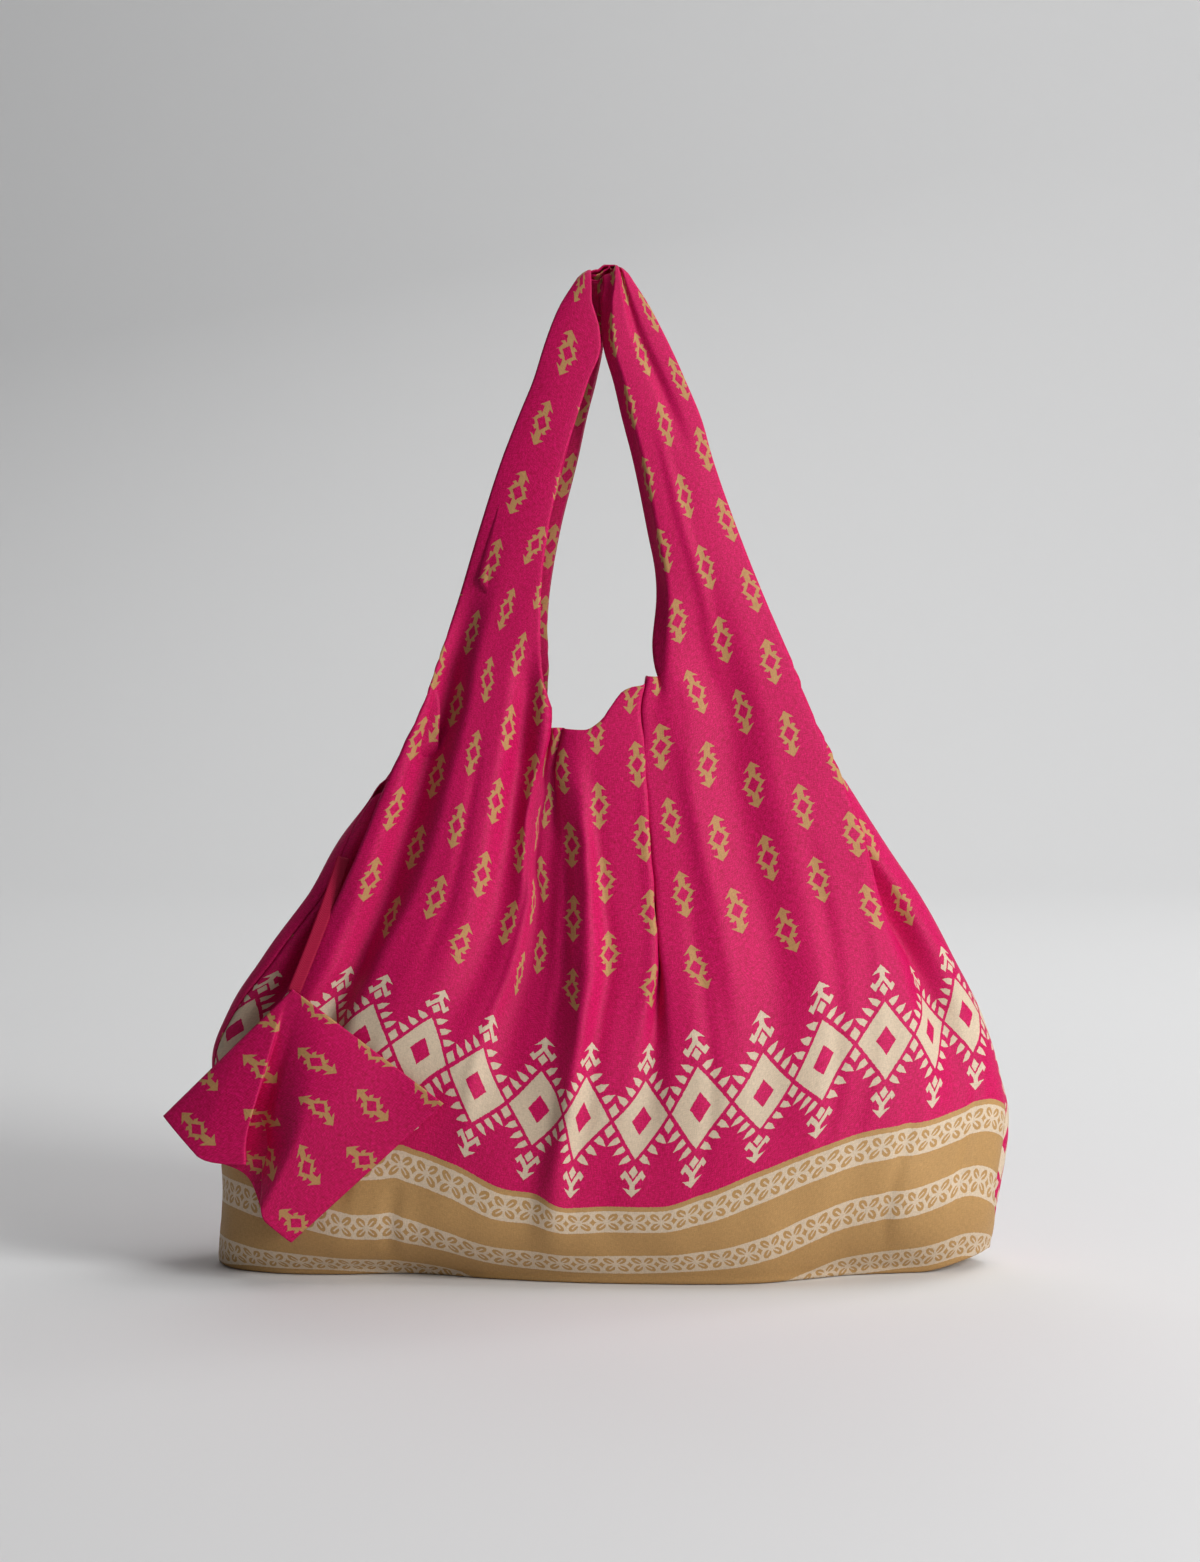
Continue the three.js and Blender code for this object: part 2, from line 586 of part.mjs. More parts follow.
function tapeGeometry() {
  const vector = (p) => new THREE.Vector3(p.x, p.y, p.z);
  const path = new THREE.QuadraticBezierCurve3(vector(tape.start), vector(tape.bend), vector(tape.end));
  const points = [];
  const quads = [];
  for (let i = 0; i <= tape.steps; i += 1) {
    const t = i / tape.steps;
    const run = path.getTangent(t);
    const across = new THREE.Vector3(0, 1, 0).cross(run).normalize();
    const middle = path.getPoint(t);
    points.push(middle.clone().addScaledVector(across, tape.width / 2));
    points.push(middle.clone().addScaledVector(across, -tape.width / 2));
    if (i > 0) quads.push([2 * i - 2, 2 * i - 1, 2 * i + 1, 2 * i]);
  }
  return thicken(points, quads, tape.thickness);
}

function pieceMesh(name, geometry, colour) {
  const material = new THREE.MeshStandardMaterial({ color: colour, roughness: 0.75, metalness: 0 });
  const mesh = new THREE.Mesh(geometry, material);
  mesh.name = name;
  return mesh;
}

const fuchsia = 0xc3215d;
const bag = new THREE.Group();
const frontGeometry = panelGeometry(-1, frontFolds, frontEdge, 'frontLeft', 'frontRight');
const backGeometry = panelGeometry(1, backFolds, backEdge, 'backLeft', 'backRight');
bag.add(pieceMesh('front_panel', frontGeometry, fuchsia));
bag.add(pieceMesh('back_panel', backGeometry, fuchsia));
bag.add(pieceMesh('pouch_front', pouchGeometry(-1), fuchsia));
bag.add(pieceMesh('pouch_back', pouchGeometry(1), fuchsia));
bag.add(pieceMesh('pouch_tape', tapeGeometry(), 0xaf1042));

// The origin lies under the middle of the whole bag, on the surface it stands on.
const box = new THREE.Box3().setFromObject(bag);
const centre = box.getCenter(new THREE.Vector3());
bag.position.set(-centre.x, -centre.y, -box.min.z);
bag.updateMatrixWorld(true);

export default bag;
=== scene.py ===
import bpy
import numpy as np
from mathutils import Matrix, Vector


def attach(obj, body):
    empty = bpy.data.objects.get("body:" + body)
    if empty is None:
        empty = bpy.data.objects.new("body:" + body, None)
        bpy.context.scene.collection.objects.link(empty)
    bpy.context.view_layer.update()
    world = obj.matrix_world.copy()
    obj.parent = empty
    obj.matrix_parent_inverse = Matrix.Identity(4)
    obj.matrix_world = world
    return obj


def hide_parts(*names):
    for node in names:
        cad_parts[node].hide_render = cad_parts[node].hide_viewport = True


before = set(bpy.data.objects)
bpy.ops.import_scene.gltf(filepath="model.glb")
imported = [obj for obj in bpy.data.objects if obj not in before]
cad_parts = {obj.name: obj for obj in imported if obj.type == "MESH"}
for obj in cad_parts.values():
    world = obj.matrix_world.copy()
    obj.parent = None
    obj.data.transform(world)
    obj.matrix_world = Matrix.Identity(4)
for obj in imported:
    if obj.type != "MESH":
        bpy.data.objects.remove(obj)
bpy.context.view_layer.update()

# Shapes are worked out in millimetres about the middle of the bottom seam, then moved by partOrigin
# into the part's own frame and turned to metres.
partOrigin = (5.785, 2.083, 0.0)
clothHalf = 255.0


def readTable(table, at, column):
    # a curve through the table's rows, with slopes kept low enough that it never overshoots a row
    names, rows = table
    x = np.array([row[0] for row in rows], float)
    y = np.array([row[names.index(column)] for row in rows], float)
    gap = np.diff(x)
    rise = np.diff(y) / gap
    slope = np.zeros_like(y)
    slope[0], slope[-1] = rise[0], rise[-1]
    inner = (rise[:-1] * gap[1:] + rise[1:] * gap[:-1]) / (gap[:-1] + gap[1:])
    slope[1:-1] = np.where(rise[:-1] * rise[1:] <= 0, 0.0, inner)
    at = np.clip(np.asarray(at, float), x[0], x[-1])
    i = np.clip(np.searchsorted(x, at, side="right") - 1, 0, len(gap) - 1)
    t = (at - x[i]) / gap[i]
    a = 2 * t ** 3 - 3 * t ** 2 + 1
    b = t ** 3 - 2 * t ** 2 + t
    c = t ** 3 - t ** 2
    return a * y[i] + (1 - a) * y[i + 1] + gap[i] * (b * slope[i] + c * slope[i + 1])


def smooth(t):
    t = np.clip(t, 0.0, 1.0)
    return t * t * (3 - 2 * t)


def mix(a, b, t):
    return a + (b - a) * t


# Outline of the hanging bag by height: silhouette left and right, depth in front of and behind the
# bottom seam, roundness of the section, and how far each side seam lies round towards the front.
sections = (("z", "left", "right", "front", "back", "power", "seamLeft", "seamRight"), [
    (0, -207, 211, 74, 60, 2.8, 3, 3),
    (40, -206.5, 219, 77, 62, 2.6, 5, 24),
    (80, -209.5, 223, 76, 62, 2.4, 7, 14),
    (110, -212, 217, 73, 61, 2.35, 10, -2),
    (140, -202, 207, 67, 58, 2.3, 17, -12),
    (170, -186, 192, 60, 54, 2.25, 26, -20),
    (200, -165, 175, 52, 50, 2.2, 26, -25),
    (230, -144, 155, 46, 46, 2.1, 15, -28),
    (252, -127, 141, 42, 43, 2.0, 2, -34),
    (270, -116, 130, 39, 40, 2.0, 2, -26),
    (290, -103, 120, 36, 37, 2.0, 4, -10),
    (310, -94, 111, 33, 34, 2.0, 4, 0),
    (360, -77, 90, 27, 28, 2.0, 4, 0),
    (440, -52, 60, 19, 20, 2.0, 3, 0),
    (520, -21, 28, 11, 12, 2.0, 2, 0),
    (543, -10, 13, 9, 10, 2.0, 2, 0),
])
# How far the cut reaches left and right of its middle, where the armholes bite into it.
clothReach = (("z", "left", "right"), [
    (0, 255, 255), (254, 255, 255), (264, 251, 245), (275, 242, 232), (290, 232, 216), (310, 222, 204),
    (360, 204, 186), (543, 192, 184),
])
# The visible face of each strap: its edges across, and the place on the cloth at each edge.
faceNames = ("z", "xIn", "xOut", "uIn", "uOut")
strapFaces = {
    "frontLeft": (faceNames, [
        (165, -41.5, -160, 88, 207), (200, -39.5, -143, 88, 207), (230, -35.5, -129, 88, 205),
        (260, -32.5, -117, 88, 204), (280, -30, -108, 88, 201), (310, -29, -94, 90, 196),
        (325, -31, -89, 94, 193), (360, -32, -77, 115, 187), (400, -28, -65, 140, 182),
        (440, -19, -52, 148, 182), (463, -12, -43, 148, 182), (480, -6.5, -36, 148, 182),
        (499, 0.2, -30, 150, 181), (509, -0.6, -26.5, 151, 180), (524, -4.6, -20, 152, 178),
        (533, -4.8, -15, 154, 176), (543, -5.2, -8.5, 156, 173)]),
    "frontRight": (faceNames, [
        (165, 55, 159, 66, 165), (200, 50, 152, 66, 165), (230, 44, 144, 66, 164),
        (260, 39, 133, 66, 160), (280, 34, 125, 62, 156), (300, 34, 115, 62, 151),
        (312, 34.5, 110, 66, 150), (321, 35, 107, 72, 148), (335, 36, 101, 78, 145),
        (360, 37, 90, 82, 141), (400, 31, 74, 86, 139), (440, 23, 60, 87, 139), (461, 17.5, 54, 87, 139),
        (480, 13, 46, 87, 139), (499, 7.6, 37.5, 87, 139), (509, 6.6, 32.5, 88, 139),
        (522, 6.6, 25.5, 88, 138), (532, 8, 19, 89, 136), (543, 8.5, 11.5, 91, 133)]),
    "backLeft": (faceNames, [
        (230, -45, -140, 92, 205), (270, -36, -114, 92, 198), (310, -29, -92, 94, 186),
        (360, -28.5, -74, 98, 170), (400, -22, -62, 100, 162), (440, -12, -49, 100, 158),
        (463, -7, -40, 101, 157), (480, -2.5, -33, 102, 156), (500, 1.6, -25, 103, 155),
        (520, 3.4, -17, 104, 154), (543, 5.4, -8, 110, 150)]),
    "backRight": (faceNames, [
        (230, 48, 146, 90, 198), (270, 42, 126, 90, 190), (310, 38, 107, 92, 176),
        (360, 39, 87, 96, 166), (400, 33, 71, 100, 162), (440, 26, 57, 100, 158),
        (480, 14, 44, 102, 156), (500, 6, 34, 103, 155), (520, 4.6, 25, 104, 154),
        (543, 4.4, 11, 110, 150)]),
}
# The folds: place across the cloth, lean, width, cloth swallowed, height it starts, is full at and is gone
# at, 1 for a valley or -1 for a ridge, 1 where it runs on up the strap, softness of its lips, depth.
foldNames = ("at", "lean", "width", "take", "from", "full", "gone", "way", "strap", "edge", "deep")
frontFolds = (foldNames, [
    (-231, 0, 50, 38, 85, 225, 999, 1, 0, 0.4, 1),      # groove beside the left seam
    (-176, 0, 44, 12, 80, 170, 400, 1, 1, 0.4, 1),
    (-107, 0, 36, 10, 130, 320, 345, 1, 1, 0.4, 1),
    (-76, 0, 44, 28, 80, 240, 999, 1, 0, 0.4, 0.4),     # deep valley left of the middle
    (-46, 0, 28, 19, 190, 300, 999, 1, 0, 0.7, 0.12),   # gathers under the left corner of the neck
    (-24, 0, 34, 11, 5, 90, 250, -1, 0, 0.4, 0.5),      # ridge down the middle
    (32.5, 0.05, 34, 32, 60, 225, 999, 1, 0, 0.15, 0.5),   # tuck under the neck
    (100, 0, 50, 2, 60, 240, 999, 1, 1, 0.4, 1),
    (184, -0.15, 52, 28, 80, 225, 999, 1, 0, 0.4, 0.7), # groove beside the right seam
])
backFolds = (foldNames, [
    (-222, 0, 48, 34, 100, 240, 999, 1, 0, 0.4, 1),
    (-128, 0, 50, 26, 70, 240, 999, 1, 1, 0.4, 1),
    (-82, 0, 34, 6, 60, 220, 999, -1, 0, 0.4, 1),
    (-18, 0, 62, 44, 60, 280, 999, 1, 0, 0.4, 1),
    (42, 0, 34, 6, 60, 220, 999, -1, 0, 0.4, 1),
    (104, 0, 50, 28, 80, 260, 999, 1, 1, 0.4, 1),
    (214, 0, 48, 36, 90, 230, 999, 1, 0, 0.4, 1),
])
# Fine creases that only dent the cloth: place across it, lean, width, depth, lowest and highest point.
creaseNames = ("at", "lean", "width", "depth", "low", "high")
frontCreases = (creaseNames, [
    (-200, 0.10, 16, 1.4, 30, 190), (-150, 0.05, 14, 1.0, 20, 150), (-132, -0.05, 12, 1.2, 150, 300),
    (-120, 0.02, 18, 1.6, 2, 60), (-62, 0.05, 52, 8.0, 70, 330), (-86, 0.03, 13, -1.4, 60, 250),
    (-45, 0.06, 10, 1.5, 100, 285), (-98, 0, 44, 5.0, 110, 330), (-22, 0, 20, -3.0, 90, 298),
    (-6, -0.03, 12, 1.1, 60, 290), (10, 0.05, 10, -1.0, 120, 300), (60, 0.03, 12, 1.2, 30, 240),
    (78, -0.02, 14, -1.3, 120, 300), (126, 0.04, 16, 1.5, 40, 260), (150, 0.05, 12, -1.0, 60, 230),
    (172, 0.04, 14, 1.2, 10, 110), (215, 0.03, 12, 1.5, 20, 160), (122, -0.12, 18, 2.4, 430, 620),
    (104, 0.0, 12, -1.2, 300, 470), (165, 0.0, 14, 1.4, 330, 500),
])
backCreases = (creaseNames, [
    (-190, 0.06, 16, 1.6, 20, 210), (-160, -0.03, 14, -1.2, 60, 240), (-105, 0.04, 12, 1.3, 80, 280),
    (-60, -0.04, 14, 1.5, 20, 240), (0, 0.03, 12, -1.2, 40, 250), (24, 0.05, 12, 1.3, 100, 260),
    (76, -0.03, 12, 1.3, 40, 260), (140, 0.05, 16, 1.6, 20, 220), (180, -0.03, 14, 1.2, 40, 200),
])
# How far the front's cloth is drawn sideways at the left valley, the ridge, the middle and beyond the tuck.
frontDrift = (("z", "valley", "ridge", "middle", "tuck"), [
    (0, 0, 0, 0, 0), (120, 0, 0, 0, -1), (165, 1, -2.7, 0, -4), (185, 2, -3.8, -2.5, -5.5),
    (203, 2, -3.7, -6.5, -6), (216, 1.5, -1, -5, -4), (240, 4.5, 5, -1.8, -0.8), (256, 4.6, 4.5, 0, 0),
    (280, -2, -1.6, -3.8, -5), (297, -6, -2, -7.5, -6), (318, -7, -2, -7.5, -6), (330, -7, -2, -7.5, -6),
    (543, 0, 0, 0, 0)])
# Height of the cut edge over each place across the panel: armhole, strap root, neck, strap, armhole.
frontEdge = (("u", "z"), [
    (-255, 254), (-245, 262), (-225, 280), (-195, 318), (-93, 316), (-88, 311), (-85, 304), (-82, 298),
    (-76, 295.6), (-56, 294.8), (-44, 294.6), (-24, 293.8), (-12, 295.2), (-4, 300.5), (2, 308),
    (6, 313.5), (11, 316), (20, 317.5), (32, 321), (68, 322), (195, 326), (225, 292), (245, 272),
    (255, 264)])
backEdge = (("u", "z"), [
    (-255, 254), (-245, 262), (-225, 280), (-195, 318), (-88, 308), (-60, 284), (-25, 272), (10, 272),
    (45, 284), (72, 308), (195, 326), (225, 292), (245, 272), (255, 264)])
# Below its widest level the cloth rolls in under the bag: how far in, and from what height.
frontRoll = (("u", "inset", "height"), [
    (-255, 0, 16), (-244, 0.5, 17), (-236, 3, 18), (-215, 12, 22), (-190, 18, 26), (-150, 28, 34),
    (-110, 32, 36), (-60, 22, 38), (-20, 15, 40), (40, 13, 41), (90, 17, 46), (120, 26, 60),
    (150, 33, 70), (190, 28, 62), (215, 16, 46), (240, 3, 30), (255, 0, 20)])
backRoll = (("u", "inset", "height"), [
    (-255, 0, 16), (-235, 4, 20), (-150, 20, 34), (0, 24, 40), (150, 20, 34), (235, 6, 26),
    (255, 0, 20)])
# How far the front of the base stands behind (minus: in front of) its plain outline.
rimSway = (("x", "y"), [
    (-215, 0), (-144, 0), (-101, 5), (-60, 2), (-16, -1), (27, -4), (58, -6), (91, -8), (155, -8),
    (176, -6), (215, 0)])
# The print: height on the flat cut where the cloth leaves the ground, how much farther up or down the
# border, the band and the field lie on it, and where the band lies across the cut.
printFoot = (("u", "v"), [
    (-255, 18), (-235, 16), (-210, 14), (-158, 15), (-124, 18), (-90, 26), (-72, 34), (-56, 39),
    (-22, 43), (12, 44), (46, 42), (80, 39), (110, 31), (140, 20), (175, 15.5), (216, 13.5), (240, 20.5),
    (255, 27.5)])
printRise = (("u", "border", "band", "field"), [
    (-255, 0, 4, 4), (-200, 2, 0, 4), (-170, 3, -5, 1), (-143, 3, -6, 5), (-116, -2, -6, 9),
    (-95, 0, 1, 10), (-80, 1, 5, 12), (-58, 5, 9, 20), (-34, 7, 10, 20), (-10, 14, 12, 19),
    (14, 14, 16, 17), (40, 15, 12, 13), (62, 9, 9, 10), (86, 2, 7, 1), (110, -3, 1, -4),
    (134, -5, -8, -5), (158, -7, -7, -5.5), (200, -8, -11, -2.5), (218, -8, -8, -3.5),
    (255, -8, -8, -5.5)])
printBand = (("u", "across"), [
    (-255, -290), (-116, -138), (-82, -102), (-46, -66), (-12, -30), (23, 6), (56, 42), (90, 78),
    (122, 114), (156, 150), (187, 186), (218, 222), (255, 264)])

panelPlan = {
    "strapOuter": 195.0, "neckLeft": -88.0, "neckRight": 68.0, "strapTop": 543.0, "bottomSeamHalf": 190.0,
    "seamGap": 0.1, "topGap": 0.15, "topTurn": 9.0,
    # base: its rounding, sharper at the corners, where the side seam also stands out like an ear
    "baseLift": 0.5, "footRise": 0.8, "baseRound": 2.6, "cornerSharp": 0.8, "cornerRun": 14.0,
    "cornerOut": 3.4, "cornerReach": 5.0, "cornerHigh": 45.0,
    "liftHeight": 8.0, "liftFrom": 170.0, "liftOver": 46.0, "liftFade": 90.0,
    "swayHigh": 150.0, "swayIn": 60.0, "seamPinch": 1.3, "seamReach": 2.5,
    # folds and creases
    "foldLevel": 220.0, "foldFade": 90.0, "foldDepth": 0.45, "mostGathered": 0.96, "creaseFade": 0.3,
    "uneven": 0.55, "unevenFrom": 30.0, "unevenCalm": 0.6,
    # where each way of frontDrift hands over to the next, and where the drift sets in and ends: place, width
    "driftOver": ((-60, 20), (-34, 24), (16, 30)), "driftFrom": (-95, 20), "driftTo": (66, 24),
    # where the wall turns into the straps
    "blendLow": 165.0, "blendHigh": 235.0, "blendLeft": 82.0, "blendRight": 60.0, "blendWide": 24.0,
    "blendNarrow": 8.0, "narrowFrom": 260.0, "narrowOver": 40.0, "dropsAbove": 323.0,
    "stripOver": 40.0, "stripFrees": 265.0, "stripFree": 290.0,
    "strapFoldFrom": 300.0, "strapFoldOver": 100.0, "strapSlant": 0.3,
    "bendFrom": 316.0, "bendOver": 40.0, "hemStrip": 6.0,
    # the straps' edges curl in, and the left pair of straps ends lower than the right
    "curlRadius": 2.1, "curlSoft": 1.5, "frontCurl": (296.0, 320.0), "backCurl": (262.0, 290.0),
    "curlShare": 0.88, "hemAcross": 0.3, "hemFrom": 300.0, "hemOver": 90.0, "hemInward": 0.9,
    "hemDeepest": 0.65,
    "leftLower": 2.5, "lowerAt": 2.5, "lowerAcross": 4.0, "lowerFrom": 515.0, "lowerOver": 25.0,
    # fineness of the lattice and of the mesh; places across the lattice are 1 mm apart
    "latticeTop": 545.0, "latticeLevels": 219, "latticeAcross": 511, "sectionSteps": 161, "sectionPast": 60,
    "columnStep": 2.5, "wallRows": 108, "strapRows": 84, "floorRows": 9, "thickness": 0.6,
    "backPrintDrop": 68.0,
}
rimAngles = np.radians([22.5, 45, 67.5])     # the rows that round the base's rim
# The grid's columns that follow the inner and the outer fold of each strap.
foldColumns = {
    "frontLeft": (110, 188), "frontRight": (80, 146), "backLeft": (100, 176), "backRight": (100, 170),
}


def foldsAt(folds, u, z, onlyStrap=False):
    # share of the cloth that the folds swallow at each place, and how far they push it in
    p = panelPlan
    gather, push = (np.zeros(np.broadcast(u, z).shape) for _ in range(2))
    for at, lean, width, most, low, full, gone, way, strap, edge, deep in folds[1]:
        if onlyStrap and not strap:
            continue
        take = most * smooth((z - low) / (full - low)) * smooth((gone - z) / p["foldFade"])
        place = np.abs(u - at - lean * (z - p["foldLevel"])) / (width / 2)
        share = np.minimum(take / width, p["mostGathered"])
        gather += take / ((1 - edge / 2) * width) * smooth((1 - place) / edge)
        push += way * width * p["foldDepth"] * deep * np.sqrt(1 - (1 - share) ** 2) * smooth(1 - place)
    return gather, push


def rowLattice(side, folds):
    # each level is a closed superellipse; the cloth of the panel is spread along its own half from seam
    # to seam, each mm of it taking as much of the way as the folds leave free
    p = panelPlan
    levels = np.linspace(0, p["latticeTop"], p["latticeLevels"])
    across = np.linspace(-clothHalf, clothHalf, p["latticeAcross"])
    angle = np.linspace(0, np.pi, p["sectionSteps"])
    past = p["sectionPast"]     # steps of the other panel's half that are kept beyond each seam
    s = {name: readTable(sections, levels, name) for name in sections[0][1:]}
    first, last = -readTable(clothReach, levels, "left"), readTable(clothReach, levels, "right")
    middle = (across[1:] + across[:-1]) / 2
    gather, _ = foldsAt(folds, middle[None, :], levels[:, None])
    free = np.where((middle > first[:, None]) & (middle < last[:, None]), 1 - gather, 0.0)
    spread = np.concatenate([np.zeros((len(levels), 1)), np.cumsum(free, axis=1)], axis=1)
    spread /= spread[:, -1:]
    x, y, nx, ny = (np.zeros((len(levels), len(across))) for _ in range(4))
    for k in range(len(levels)):
        c = -np.cos(angle)
        px = (s["left"][k] + s["right"][k]) / 2
        px = px + (s["right"][k] - s["left"][k]) / 2 * np.sign(c) * np.abs(c) ** (2 / s["power"][k])
        arch = np.abs(np.sin(angle)) ** (2 / s["power"][k])
        halves = [np.stack([px, -s["front"][k] * arch]), np.stack([px, s["back"][k] * arch])]
        own, other = halves if side < 0 else halves[::-1]
        ownRun = np.concatenate([[0], np.cumsum(np.hypot(*np.diff(own)))])
        otherRun = np.concatenate([[0], np.cumsum(np.hypot(*np.diff(other)))])
        beyond = ownRun[-1] + otherRun[-1] - otherRun[-2:-past - 2:-1]
        run = np.concatenate([-otherRun[past:0:-1], ownRun, beyond])
        line = np.concatenate([other[:, past:0:-1], own, other[:, -2:-past - 2:-1]], axis=1)
        start = -side * s["seamLeft"][k] + p["seamGap"]
        end = ownRun[-1] + side * s["seamRight"][k] - p["seamGap"]
        place = start + (end - start) * spread[k]
        at = [np.stack([np.interp(place + d, run, line[n]) for n in (0, 1)]) for d in (-1, 0, 1)]
        way = at[2] - at[0]
        way /= np.hypot(*way)
        x[k], y[k], nx[k], ny[k] = at[1][0], at[1][1], -side * way[1], side * way[0]
    return {"levels": levels, "x": x, "y": y, "nx": nx, "ny": ny}


def fromLattice(lattice, u, z):
    # reads the lattice between its levels and its places across
    k = np.clip(z / lattice["levels"][1], 0, len(lattice["levels"]) - 1.001)
    i = np.clip(u + clothHalf, 0, 2 * clothHalf - 0.001)
    k0, i0 = k.astype(int), i.astype(int)
    kt, it = k - k0, i - i0
    out = []
    for name in ("x", "y", "nx", "ny"):
        a = lattice[name]
        low = mix(a[k0, i0], a[k0, i0 + 1], it)
        out.append(mix(low, mix(a[k0 + 1, i0], a[k0 + 1, i0 + 1], it), kt))
    return out


def strapPoint(side, strap, u, z):
    # the face runs straight between its two edges; cloth past an edge curls round behind it
    p = panelPlan
    face = {name: readTable(strapFaces[strap], z, name) for name in faceNames[1:]}
    depth = readTable(sections, z, "front" if side < 0 else "back")
    out, a = np.sign(u), np.abs(u)
    width = np.abs(face["xOut"] - face["xIn"])
    t = np.clip((a - face["uIn"]) / (face["uOut"] - face["uIn"]), 0, 1)
    x = mix(face["xIn"], face["xOut"], t)
    y = side * depth * (1 - p["strapSlant"] * t * t)
    hem = -p["neckLeft"] if strap.endswith("Left") else p["neckRight"]

    def roll(past, limit):
        q = past * np.minimum(1, p["curlShare"] * width / np.maximum(limit, 1))
        across = np.sqrt(q * q + p["curlRadius"] ** 2) - p["curlRadius"]
        return across, 2 * p["curlRadius"] * q / np.sqrt(q * q + (p["curlSoft"] * p["curlRadius"]) ** 2)

    past = np.maximum(face["uIn"] - a, 0)
    start, full = p["frontCurl"] if side < 0 else p["backCurl"]
    curled = smooth((z - start) / (full - start))
    if strap == "frontRight":
        deepest = p["hemDeepest"] * depth
        x = x - out * past * mix(1, p["hemAcross"], smooth((z - p["hemFrom"]) / p["hemOver"]))
        y = y - side * deepest * (1 - np.exp(-p["hemInward"] * past / deepest)) * curled
    else:
        across, inward = roll(past, face["uIn"] - hem)
        x = x + out * np.where(past > 0, mix(-past, across, curled), 0)
        y = y - side * inward * curled
    past = np.maximum(a - face["uOut"], 0)
    across, inward = roll(past, p["strapOuter"] - face["uOut"])
    return x - out * across, y - side * inward


def panelWall(side, lattice, folds, creases, left, right, u, z):
    # the hanging face follows the lattice pushed in by the folds, rolls in under the bag at its foot, and
    # turns into the straps above
    p = panelPlan
    x, y, nx, ny = fromLattice(lattice, u, z)
    rolled = frontRoll if side < 0 else backRoll
    under = readTable(rolled, u, "inset") * np.clip(1 - z / readTable(rolled, u, "height"), 0, 1) ** 2
    x, y = x - nx * under, y - ny * under
    _, push = foldsAt(folds, u, z)
    x, y = x - nx * push, y - ny * push
    if side < 0:
        drawn, *others = (readTable(frontDrift, z, name) for name in frontDrift[0][1:])
        for way, (at, over) in zip(others, p["driftOver"]):
            drawn = mix(drawn, way, smooth((u - at) / over))
        (begin, beginOver), (end, endOver) = p["driftFrom"], p["driftTo"]
        x = x + drawn * smooth((u - begin) / beginOver) * (1 - smooth((u - end) / endOver))
    inner = np.where(u < 0, p["blendLeft"], p["blendRight"]) - np.maximum(0, z - p["dropsAbove"])
    wide = mix(p["blendWide"], p["blendNarrow"], smooth((z - p["narrowFrom"]) / p["narrowOver"]))
    high = smooth((z - p["blendLow"]) / (p["blendHigh"] - p["blendLow"]))
    outer = np.where(u < 0, readTable(strapFaces[left], z, "uOut"), readTable(strapFaces[right], z, "uOut"))
    atSeam = smooth((np.abs(u) - outer) / p["stripOver"])
    freed = smooth((z - p["stripFrees"]) / (p["stripFree"] - p["stripFrees"]))
    weight = high * smooth((np.abs(u) - inner) / wide) * mix(1 - atSeam, 1, freed)
    _, dent = foldsAt(folds, u, z, onlyStrap=True)
    dent = dent * (1 - smooth((z - p["strapFoldFrom"]) / p["strapFoldOver"]))
    for strap, part in ((left, u < 0), (right, u >= 0)):
        sx, sy = strapPoint(side, strap, u, z)
        x = np.where(part, mix(x, sx, weight), x)
        y = np.where(part, mix(y, sy - side * dent, weight), y)
    fromSeam = clothHalf - np.abs(u)
    if side < 0:
        y = y + readTable(rimSway, x, "y") * (1 - smooth(z / p["swayHigh"])) * smooth(fromSeam / p["swayIn"])
    nx, ny = mix(nx, 0, weight), mix(ny, side, weight)
    for at, lean, width, depth, low, top in creases[1]:
        place = np.abs(u - at - lean * (z - low)) / (width / 2)
        fade = p["creaseFade"] * (top - low)
        run = smooth((z - low) / fade) * smooth((top - z) / fade)
        dentHere = depth * run * smooth(1 - place)
        x, y = x - nx * dentHere, y - ny * dentHere
    # soft unevenness: sines whose waves, in mm, are longer up the cloth than across it
    sway = np.sin(u / 9 + 1.3 * np.sin(z / 41 + side)) * np.sin(z / 57 + u / 70 + 2 * side)
    sway = sway + 0.6 * np.sin(u / 5.1 + z / 33 + 2.1) * np.sin(z / 23 - u / 31)
    sway = p["uneven"] * sway * smooth(z / p["unevenFrom"]) * (1 - p["unevenCalm"] * high)
    # the side seam is drawn in, and at the base's corners it stands out
    seam = -p["seamPinch"] * np.exp(-fromSeam / p["seamReach"]) * (1 - high * 0.5)
    ear = np.exp(-fromSeam / p["cornerReach"]) * (1 - smooth(z / p["cornerHigh"]))
    seam = seam + p["cornerOut"] * ear
    return x + nx * (sway + seam), y + ny * (sway + seam), z


def followFolds(strap, u, z):
    # in the straps the grid's columns bend over so that two of them run along the strap's folds
    p, columns = panelPlan, foldColumns[strap]
    hem = -p["neckLeft"] if strap.endswith("Left") else p["neckRight"]
    a, outerHem = np.abs(u), p["strapOuter"]
    inner = np.maximum(readTable(strapFaces[strap], z, "uIn"), hem + p["hemStrip"])
    outer = readTable(strapFaces[strap], z, "uOut")
    target = mix(inner, outer, (a - columns[0]) / (columns[1] - columns[0]))
    target = np.where(a < columns[0], mix(hem, inner, (a - hem) / (columns[0] - hem)), target)
    beyond = mix(outer, outerHem, (a - columns[1]) / (outerHem - columns[1]))
    target = np.where(a > columns[1], beyond, target)
    return np.sign(u) * mix(a, target, smooth((z - p["bendFrom"]) / p["bendOver"]))


